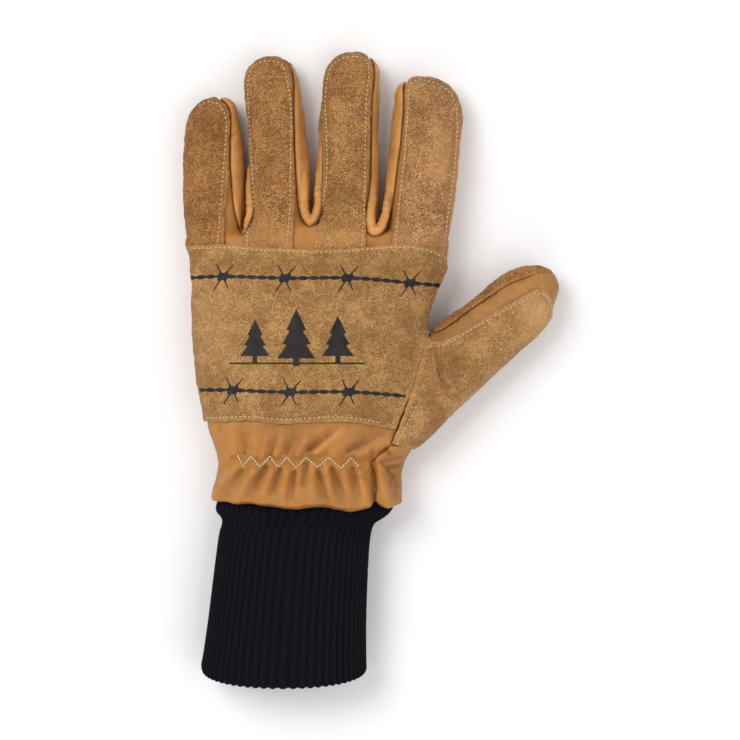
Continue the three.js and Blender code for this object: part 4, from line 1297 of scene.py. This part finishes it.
def build_cuff():
    start, end = CUFF_ROWS["y"][0], CUFF_ROWS["y"][-1]
    outer_rows = int(round((end - start) / KNIT_ROW * ROWS_PER_STITCH)) + 1
    outer, outer_dots = cuff_tube(np.linspace(end, start, outer_rows), 0.0, 1.0)
    inner_rows = int(round((end - start) / INNER_ROW))
    inner, inner_dots = cuff_tube(np.linspace(start, end, inner_rows), CUFF_WALL, INNER_RIBS)
    hem = []
    for angle in np.linspace(0, math.pi, HEM_STEPS)[1:-1]:
        share = 0.5 - 0.5 * math.cos(angle)
        ring = outer[-1] * (1 - share) + inner[0] * share
        ring[:, 1] -= HEM_BULGE * math.sin(angle) * (1 - HEM_PINCH * outer_dots[-1])
        hem.append(ring)
    rings = np.concatenate([outer, np.array(hem), inner])
    hem_dots = np.repeat(outer_dots[-1:], len(hem), axis=0) * INNER_RIBS
    dots = np.concatenate([outer_dots, hem_dots, inner_dots]).ravel()
    count, around = rings.shape[:2]
    at = np.arange(count * around).reshape(count, around)
    a, b = at, np.roll(at, -1, axis=0)
    quads = np.stack([a, np.roll(a, -1, axis=1), np.roll(b, -1, axis=1), b], axis=2).reshape(-1, 4)
    points = rings.reshape(-1, 3)
    add_piece("cuff_knit", "knit", points, [quads], knit_material(), {"dots": dots}, "knit_cuff")


# Threads

DIRECTION_REACH = 0.3


def resample(line, pitch):
    """Points a pitch apart along a line, with the direction it runs in at each."""
    places = places_along(line)
    count = int(places[-1] / pitch)
    at = (np.arange(count) + 0.5) * pitch
    spots, ahead, behind = (
        np.stack([np.interp(at + way * pitch, places, line[:, i]) for i in range(3)], axis=1)
        for way in (0, DIRECTION_REACH, -DIRECTION_REACH)
    )
    return spots, ahead - behind


def steady(line, rounds):
    for _ in range(rounds):
        line = np.concatenate([line[:1], (line[:-2] + 2 * line[1:-1] + line[2:]) / 4, line[-1:]])
    return line


def look_down(ground, x, y):
    """Whether a piece lies under a place of the plan, and its point and normal there."""
    hit, where, up, _ = ground.ray_cast(Vector(to_frame((x, y, SKY))), Vector((0, 0, -1)))
    return hit, to_plan(where), np.array(up)


def drop(line, ground_name, spacing=0.5):
    """A line of the plan laid on top of a piece."""
    ground = bpy.data.objects[ground_name]
    laid = []
    for a, b in zip(line[:-1], line[1:]):
        count = max(1, int(np.linalg.norm(b - a) / spacing))
        for share in np.arange(count) / count:
            hit, where, _ = look_down(ground, *(a + (b - a) * share))
            if hit:
                laid.append(where)
    return np.array(laid)


# A stitch's rings: their places along it, and their sizes and lifts as shares of the thread's radius
RING_PLACES = np.array([-0.5, -0.47, -0.32, 0.0, 0.32, 0.47, 0.5])
RING_SIZES = np.array([0.25, 0.7, 1.0, 1.0, 1.0, 0.7, 0.25])
RING_LIFTS = np.array([-0.55, -0.2, 0.45, 0.75, 0.45, -0.2, -0.55])
RING_CORNERS = 6
STITCH_LENGTHS = (0.9, 1.08)
STITCH_LEAN = 0.08


def stitches(name, ground_name, lines, material, pitch, length, radius, rounds):
    """A short thread at each stitch of the lines, lying on the named piece."""
    ground = bpy.data.objects[ground_name]
    spots, ways, ups = [], [], []
    for line in lines:
        for spot, way in zip(*resample(steady(line, rounds), pitch)):
            _, where, up, _ = ground.closest_point_on_mesh(Vector(to_frame(spot)))
            spots.append(to_plan(where))
            ways.append(way / np.linalg.norm(way))
            ups.append(np.array(up))
    spots, ways, ups = (np.array(rows)[:, None] for rows in (spots, ways, ups))
    sides = np.cross(ways, ups)
    sides /= np.linalg.norm(sides, axis=2, keepdims=True)
    ups = np.cross(sides, ways)
    random = np.random.default_rng(5)
    lengths = length * random.uniform(*STITCH_LENGTHS, (len(spots), 1, 1))
    ways = ways + sides * random.uniform(-STITCH_LEAN, STITCH_LEAN, (len(spots), 1, 1))
    centres = spots + ways * RING_PLACES[:, None] * lengths + ups * RING_LIFTS[:, None] * radius
    turns = 2 * math.pi * np.arange(RING_CORNERS)[:, None] / RING_CORNERS
    spokes = sides * np.cos(turns) + ups * np.sin(turns)
    points = centres[:, :, None] + spokes[:, None] * RING_SIZES[:, None, None] * radius
    at = np.arange(points.size // 3).reshape(points.shape[:3])
    a, b = at[:, :-1], at[:, 1:]
    quads = np.stack([a, b, np.roll(b, -1, axis=2), np.roll(a, -1, axis=2)], axis=3).reshape(-1, 4)
    caps = np.concatenate([at[:, 0], at[:, -1][:, ::-1]])
    add_piece(name, "suede", points.reshape(-1, 3), [quads, caps], material)


def build_threads():
    thread = thread_material()
    for name, lines in STITCH_LINES.items():
        laid = [drop(smooth_line(line, 0.5), name) for line in lines]
        stitches(f"{name}_stitches", name, laid, thread, **SEAM_STITCH)
    zigzag = drop(np.array(ZIGZAG), "back_grain")
    stitches("elastic_stitches", "back_grain", [zigzag], thread, **ZIGZAG_STITCH)


# The print on the back panel

INK_LIFT = 0.07
INK_STEP = 0.3
FIR_INK_STEP = 0.4
INK_DEPTH = 0.21
INK_EDGE_REACH = 1.2
LEAST_INK_FALL = 0.3
STEEPEST_PRINT = 0.3
NUDGE = 0.02


def ink_piece(name, distance, low, high, material, step=INK_STEP):
    """A thin film of ink on the back panel, over the shape that a distance in the plan gives."""
    ground = bpy.data.objects["back_suede"]
    x, y = np.meshgrid(np.arange(low[0], high[0], step), np.arange(low[1], high[1], step), indexing="ij")
    values = distance(x, y)
    inside = values < 0
    slope_x = (distance(x + NUDGE, y) - distance(x - NUDGE, y)) / (2 * NUDGE)
    slope_y = (distance(x, y + NUDGE) - distance(x, y - NUDGE)) / (2 * NUDGE)
    size = np.maximum(slope_x**2 + slope_y**2, LEAST_INK_FALL)
    move = np.where(inside, 0, np.clip(values, 0, INK_EDGE_REACH * step)) / size
    x, y = x - slope_x * move, y - slope_y * move
    cell = inside[:-1, :-1] | inside[1:, :-1] | inside[:-1, 1:] | inside[1:, 1:]
    at = np.arange(x.size).reshape(x.shape)
    used, quads = used_only(np.stack([at[:-1, :-1], at[1:, :-1], at[1:, 1:], at[:-1, 1:]], axis=2)[cell])
    tops, laid = [], []
    for place in zip(x.ravel()[used], y.ravel()[used]):
        hit, where, up = look_down(ground, *place)
        laid.append(hit and up[2] > STEEPEST_PRINT)
        tops.append(where + INK_LIFT * up)
    used, quads = used_only(quads[np.array(laid)[quads].all(axis=1)])
    tops = np.array(tops)[used]
    edges = np.stack([quads, np.roll(quads, -1, axis=1)], axis=2).reshape(-1, 2).tolist()
    both_ways = {(b, a) for a, b in edges}
    border = np.array([edge for edge in edges if tuple(edge) not in both_ways])
    walls = np.concatenate([border[:, ::-1], border + len(tops)], axis=1)
    points = np.concatenate([tops, tops - (0, 0, INK_DEPTH)])
    add_piece(name, "suede", points, [quads, quads[:, ::-1] + len(tops), walls], material)


# A twisted wire ornament: a line of lobes with a coil and four barbs at each knot
WIRE_ROWS = {
    "wire_print_top": {"knots": (-41, -14.5, 12, 38.5), "run": (-58, 51.5), "y": 40.2, "droop": -3},
    "wire_print_foot": {"knots": (-36.5, -12, 12.5), "run": (-54, 36.5), "y": -8, "droop": -2},
}
WIRE_LOBE = 4.4
WIRE_THICK = 0.9
WIRE_THIN = 0.28
WIRE_FULLNESS = 0.8
WIRE_SWAY = 0.35
WIRE_SWAY_RUN = 9.0
COIL_HALF = (2.1, 1.6)
COIL_LEAN = 0.25
BARBS = table("angle length", [(118, 6), (48, 6.6), (236, 7), (294, 5.4)])
WIRE_ROOM = (1, 12, 3, 9)
BARB_ROOT = 0.34
BARB_TIP = 0.22


def wire_y(row, x):
    start, end = row["run"]
    share = (x - start) / (end - start)
    return row["y"] + row["droop"] * share**3 + WIRE_SWAY * np.sin(x / WIRE_SWAY_RUN)


def wire_distance(row, x, y):
    start, end = row["run"]
    line = wire_y(row, x)
    half = WIRE_THIN + (WIRE_THICK - WIRE_THIN) * np.abs(np.sin(math.pi * x / WIRE_LOBE)) ** WIRE_FULLNESS
    best = np.maximum(np.abs(y - line) - half, np.maximum(start - x, x - end))
    for knot in row["knots"]:
        middle = wire_y(row, knot)
        across, up = x - knot, y - middle
        coil = np.maximum(np.abs(across - COIL_LEAN * up) - COIL_HALF[0], np.abs(up) - COIL_HALF[1])
        best = np.minimum(best, coil)
        for angle, length in zip(*BARBS.values()):
            c, s = math.cos(math.radians(angle)), math.sin(math.radians(angle))
            near, share = line_distance(across, up, c, s, length * c, length * s)
            best = np.minimum(best, near - (BARB_ROOT + (BARB_TIP - BARB_ROOT) * share))
    return best


# Three fir trees in a row on a ground line
FIRS = table("x foot height width", [(-27, 5.5, 17, 12.5), (-9.5, 4.5, 23, 16), (8, 5.5, 18.5, 13.5)])
FIR_TIERS = 3
FIR_TIER_RISE = 0.26
FIR_TIER_HEIGHT = (0.50, 0.055)
FIR_TIER_NARROWING = 0.24
FIR_TRUNK_HALF_WIDTH = 0.055
FIR_TRUNK_DROP = 0.5
FIR_TRUNK_HALF_HEIGHT = 1.6
FIR_FIRST_TIER = 1.2
GROUND_LINE = (-38.0, 19.5, 3.6, 0.7)


def fir_distance(x, y):
    left, right, level, thick = GROUND_LINE
    best = np.maximum(np.abs(y - level) - thick / 2, np.maximum(left - x, x - right))
    for middle, foot, height, width in zip(*FIRS.values()):
        beside = np.abs(x - middle) - FIR_TRUNK_HALF_WIDTH * height
        over = np.abs(y - foot + FIR_TRUNK_DROP) - FIR_TRUNK_HALF_HEIGHT
        best = np.minimum(best, np.maximum(beside, over))
        for tier in range(FIR_TIERS):
            low = foot + FIR_FIRST_TIER + FIR_TIER_RISE * height * tier
            tall = height * (FIR_TIER_HEIGHT[0] - FIR_TIER_HEIGHT[1] * tier)
            half = width / 2 * (1 - FIR_TIER_NARROWING * tier)
            corners = [(middle - half, low), (middle + half, low), (middle, low + tall)]
            best = np.minimum(best, outline_distance(corners, x, y))
    return best


def build_print():
    ink = ink_material()
    for name, row in WIRE_ROWS.items():
        (start, end), (left, below, right, above) = row["run"], WIRE_ROOM
        low, high = (start - left, row["y"] - below), (end + right, row["y"] + above)
        ink_piece(name, partial(wire_distance, row), low, high, ink)
    ink_piece("fir_print", fir_distance, (-40, 1), (22, 31), ink, FIR_INK_STEP)


# The scene round the glove

CAMERA_PLACE = (0.8, -0.1)
CAMERA_HEIGHT = 1065.0
VIEW_WIDTH = 318.2
VIEW_LEVEL = 15.0
SENSOR = 36.0


def build_camera():
    data = bpy.data.cameras.new("camera")
    data.sensor_width = SENSOR
    data.lens = SENSOR * (CAMERA_HEIGHT - VIEW_LEVEL) / VIEW_WIDTH
    camera = add_object("camera", data)
    camera.location = [place * MM for place in (*CAMERA_PLACE, CAMERA_HEIGHT)]
    bpy.context.scene.camera = camera


LIGHTS = {
    "key": {"place": (-700, 500, 1300), "size": 800, "power": 12.0},
    "fill": {"place": (800, -300, 1200), "size": 1100, "power": 5.0},
    "front": {"place": (0, -1100, 900), "size": 1000, "power": 3.0},
}
SKY_STRENGTH = 0.55


def build_lights():
    for name, spec in LIGHTS.items():
        data = bpy.data.lights.new(name, "AREA")
        data.size = spec["size"] * MM
        data.energy = spec["power"]
        lamp = add_object(name, data)
        lamp.location = [place * MM for place in spec["place"]]
        lamp.rotation_euler = (-lamp.location).to_track_quat("-Z", "Y").to_euler()
    world = bpy.data.worlds.new("studio")
    world.use_nodes = True
    background = world.node_tree.nodes["Background"]
    background.inputs["Color"].default_value = (1, 1, 1, 1)
    background.inputs["Strength"].default_value = SKY_STRENGTH
    bpy.context.scene.world = world
    bpy.context.scene.view_settings.view_transform = "Standard"


FLOOR_HALF = 3000.0
FLOOR_DROP = 0.05


def build_floor():
    corners = [(-1, -1), (1, -1), (1, 1), (-1, 1)]
    points = [(x * FLOOR_HALF, y * FLOOR_HALF, -FLOOR_DROP) for x, y in corners]
    floor = mesh_object("floor", points, [np.array([[0, 1, 2, 3]])], floor_material())


def main():
    build_camera()
    build_lights()
    build_floor()
    build_strips()
    build_panels()
    build_leather()
    build_cuff()
    bpy.context.view_layer.update()
    build_threads()
    build_print()


main()
